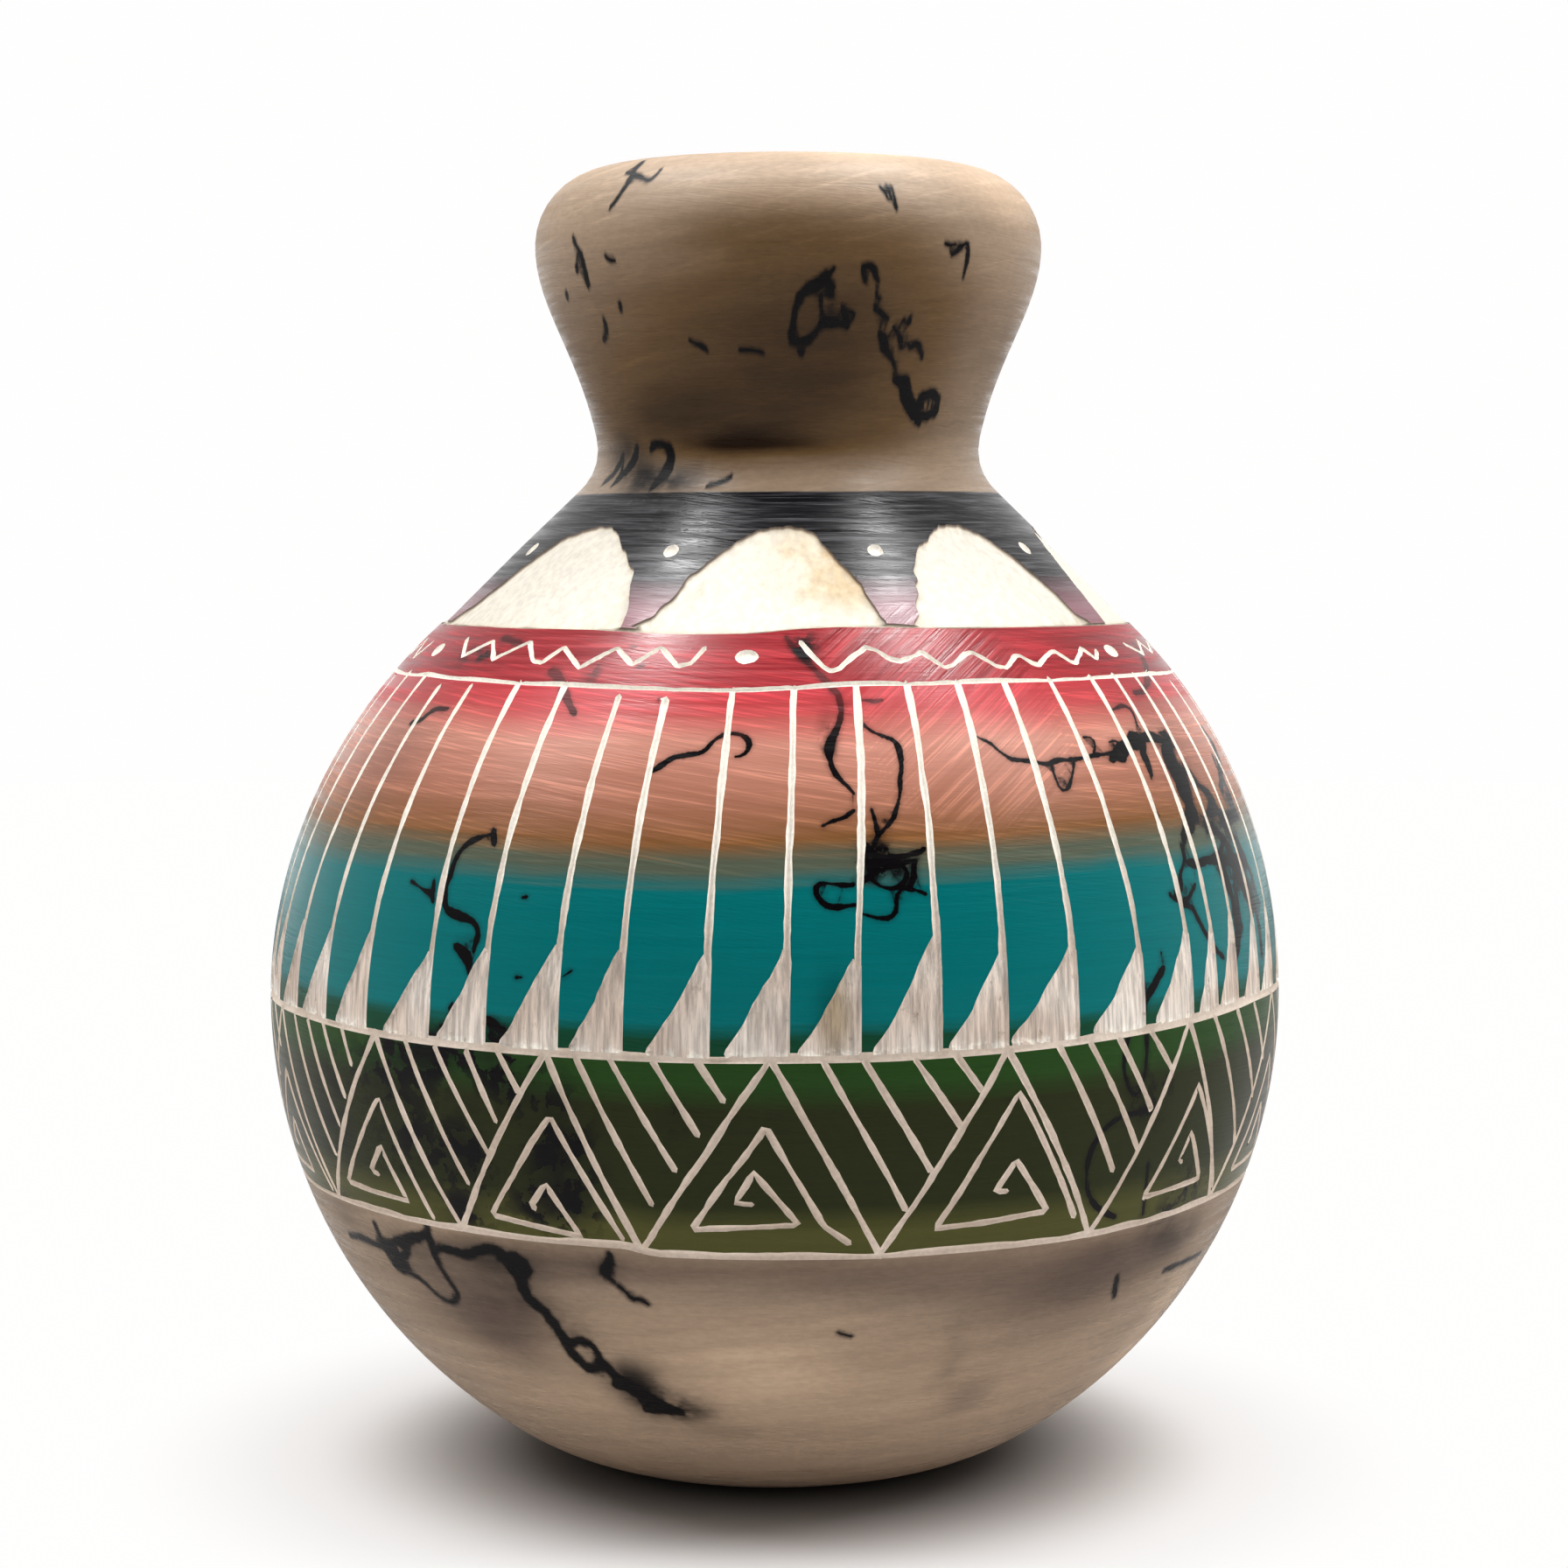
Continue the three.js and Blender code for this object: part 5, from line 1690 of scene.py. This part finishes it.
def floor_finish():
    """White paper: shaded by the vase near it, with painted shadow darkening it towards the vase as the
    camera sees it, painted half as bright in the vase's gloss, and plain white to the camera further out.
    """
    f = Finish("white_paper", 0.9, Specular_IOR_Level=0.1)
    settings = {"operation": "LENGTH"}
    away = f.node("ShaderNodeVectorMath", settings, sockets={0: f.place}, output="Value")
    seen = f.node("ShaderNodeLightPath", output="Is Camera Ray")
    mirrored = f.node("ShaderNodeLightPath", output="Is Glossy Ray")
    # painted shadow: to the camera the paper is painted darker towards the vase; in the vase's gloss it is
    # painted half as bright
    near = f.smooth(away, 0.02, 0.075, 0.08, 1.0)
    f.set("Base Color", f.shade(PAPER, 1 - (1 - near) * seen - 0.5 * mirrored))
    plain = f.node("ShaderNodeEmission", sockets={"Color": PAPER_LIGHT, "Strength": 1.0})
    share = f.smooth(away, 0.05, 0.108) * seen
    sockets = {0: share, 1: Value(f.tree, f.surface.outputs[0]), 2: plain}
    shown = f.node("ShaderNodeMixShader", sockets=sockets)
    f.tree.links.new(shown.socket, f.tree.nodes["Material Output"].inputs["Surface"])
    return f.material


def sheet_of_paper(half=1.6, rings=28, around=96):
    """A round flat sheet at table height: rings of points at growing radii."""
    turn = np.linspace(0, 2 * np.pi, around, endpoint=False)
    radius = (half * np.linspace(0.01, 1, rings) ** 1.5)[:, None]
    points = np.stack([radius * np.cos(turn), radius * np.sin(turn), 0 * radius * turn], axis=-1)
    i, j = np.meshgrid(np.arange(rings - 1), np.arange(around), indexing="ij")
    k = (j + 1) % around
    a, b = i * around, (i + 1) * around
    quads = np.stack([a + j, b + j, b + k, a + k], axis=-1).reshape(-1, 4)
    mesh = bpy.data.meshes.new("paper")
    mesh.from_pydata(points.reshape(-1, 3).tolist(), [], quads.tolist() + [list(range(around))])
    return mesh


LAMP_AIM = (0, 0, 0.12)
LEFT_LAMP = ((-0.8, -0.2, 0.72), (-0.19, 0.04, 1.12))
RIGHT_LAMP = ((0.88, -0.26, 0.7), (0.19, 0.04, 1.12))
# Name, ends and width in metres, setting that holds the power, share of it, seen only in the gloss
LAMPS = (
    ("lamp_left", *LEFT_LAMP, 0.2, "left_lamp", 1, False),
    ("lamp_right", *RIGHT_LAMP, 0.2, "right_lamp", 1, False),
    ("gleam_left", *LEFT_LAMP, 0.3, "gleam", 1, True),
    ("gleam_right", *RIGHT_LAMP, 0.3, "gleam", 1, True),
    ("shine_left", (-0.41, -0.12, 1.03), (-0.28, 0.3, 1.09), 0.14, "shine", 0.85, True),
    ("shine_right", (0.39, -0.12, 1.03), (0.24, 0.36, 1.1), 0.13, "shine", 1, True),
)


def strip_lamp(scene, name, low_end, high_end, width, power, shine):
    """A soft lamp between two points, facing the vase: it lights it, or only shines in its gloss."""
    low_end, high_end, aim = Vector(low_end), Vector(high_end), Vector(LAMP_AIM)
    middle = (low_end + high_end) / 2
    away = (middle - aim).normalized()
    along = high_end - low_end
    along = (along - along.dot(away) * away).normalized()
    turn = Matrix((along.cross(away), along, away)).transposed()
    lamp = bpy.data.lights.new(name, "AREA")
    lamp.shape = "RECTANGLE"
    lamp.size, lamp.size_y = width, (high_end - low_end).length
    lamp.energy = power
    holder = bpy.data.objects.new(name, lamp)
    holder.matrix_world = Matrix.Translation(middle) @ turn.to_4x4()
    holder.visible_glossy = shine
    holder.visible_diffuse = not shine
    scene.collection.objects.link(holder)


def white_room(surroundings):
    """The world: white where it is seen, darker behind the camera in the gloss, even elsewhere."""
    world = bpy.data.worlds.new("white_room")
    world.use_nodes = True
    tree = world.node_tree
    background = tree.nodes["Background"]
    background.inputs["Color"].default_value = (*ROOM_LIGHT, 1.0)
    path = tree.nodes.new("ShaderNodeLightPath")
    rays = ("Camera", "Glossy", "Transmission")
    seen, shiny, clear = (Value(tree, path.outputs[f"Is {kind} Ray"]) for kind in rays)
    split = tree.nodes.new("ShaderNodeSeparateXYZ")
    tree.links.new(tree.nodes.new("ShaderNodeTexCoord").outputs["Generated"], split.inputs[0])
    room = Value(tree, split.outputs["Y"]) * 0.62 + 0.5
    room = room.calculated("MAXIMUM", room, 0.04)
    room = room.calculated("MINIMUM", room, 1.0)
    strength = seen + clear + shiny * room + (1 - seen - clear - shiny) * surroundings
    tree.links.new(strength.socket, background.inputs["Strength"])
    return world


class VaseStage(bpy.types.Operator):
    """Sets up the paper, the white surroundings, the lamps and the camera"""

    bl_idname = "scene.vase_stage"
    bl_label = "Stage"

    def execute(self, context):
        scene = context.scene
        view = scene.vase_view
        paper = bpy.data.objects.new("paper", sheet_of_paper())
        paper.data.materials.append(floor_finish())
        scene.collection.objects.link(paper)
        scene.world = white_room(view.surroundings)
        for name, low_end, high_end, width, setting, share, shine in LAMPS:
            strip_lamp(scene, name, low_end, high_end, width, getattr(view, setting) * share, shine)
        camera = bpy.data.cameras.new("camera")
        camera.lens = view.lens
        camera.sensor_width = SENSOR
        camera.clip_start, camera.clip_end = 0.01, 20.0
        holder = bpy.data.objects.new("camera", camera)
        holder.location = view.eye
        holder.rotation_euler = (np.pi / 2 - view.tilt, 0, 0)
        scene.collection.objects.link(holder)
        scene.camera = holder
        scene.view_settings.view_transform = "Standard"
        return {"FINISHED"}


class VasePanel(bpy.types.Panel):
    """The vase's pieces and sizes in the sidebar."""

    bl_label = "Carved clay vase"
    bl_idname = "VIEW3D_PT_vase"
    bl_space_type = "VIEW_3D"
    bl_region_type = "UI"
    bl_category = "Vase"

    def draw(self, context):
        layout = self.layout
        for operator in OPERATORS:
            layout.operator(operator.bl_idname)
        for group in GROUPS:
            box = layout.box()
            for prop in getattr(context.scene, group).bl_rna.properties:
                if prop.identifier not in ("rna_type", "name"):
                    box.prop(getattr(context.scene, group), prop.identifier)


GROUPS = {
    "vase_shape": VaseShape,
    "vase_ornament": VaseOrnament,
    "vase_finish": VaseFinish,
    "vase_view": VaseView,
}
OPERATORS = (VaseStage, VaseVessel)


def register():
    for kind in (*GROUPS.values(), *OPERATORS, VasePanel):
        bpy.utils.register_class(kind)
    for name, kind in GROUPS.items():
        setattr(bpy.types.Scene, name, bpy.props.PointerProperty(type=kind))


def unregister():
    for name in GROUPS:
        delattr(bpy.types.Scene, name)
    for kind in (VasePanel, *OPERATORS[::-1], *GROUPS.values()):
        bpy.utils.unregister_class(kind)


def main():
    """Builds everything."""
    register()
    bpy.ops.scene.vase_stage()
    bpy.ops.mesh.vase_vessel()
    bpy.context.view_layer.update()


if __name__ == "__main__":
    main()
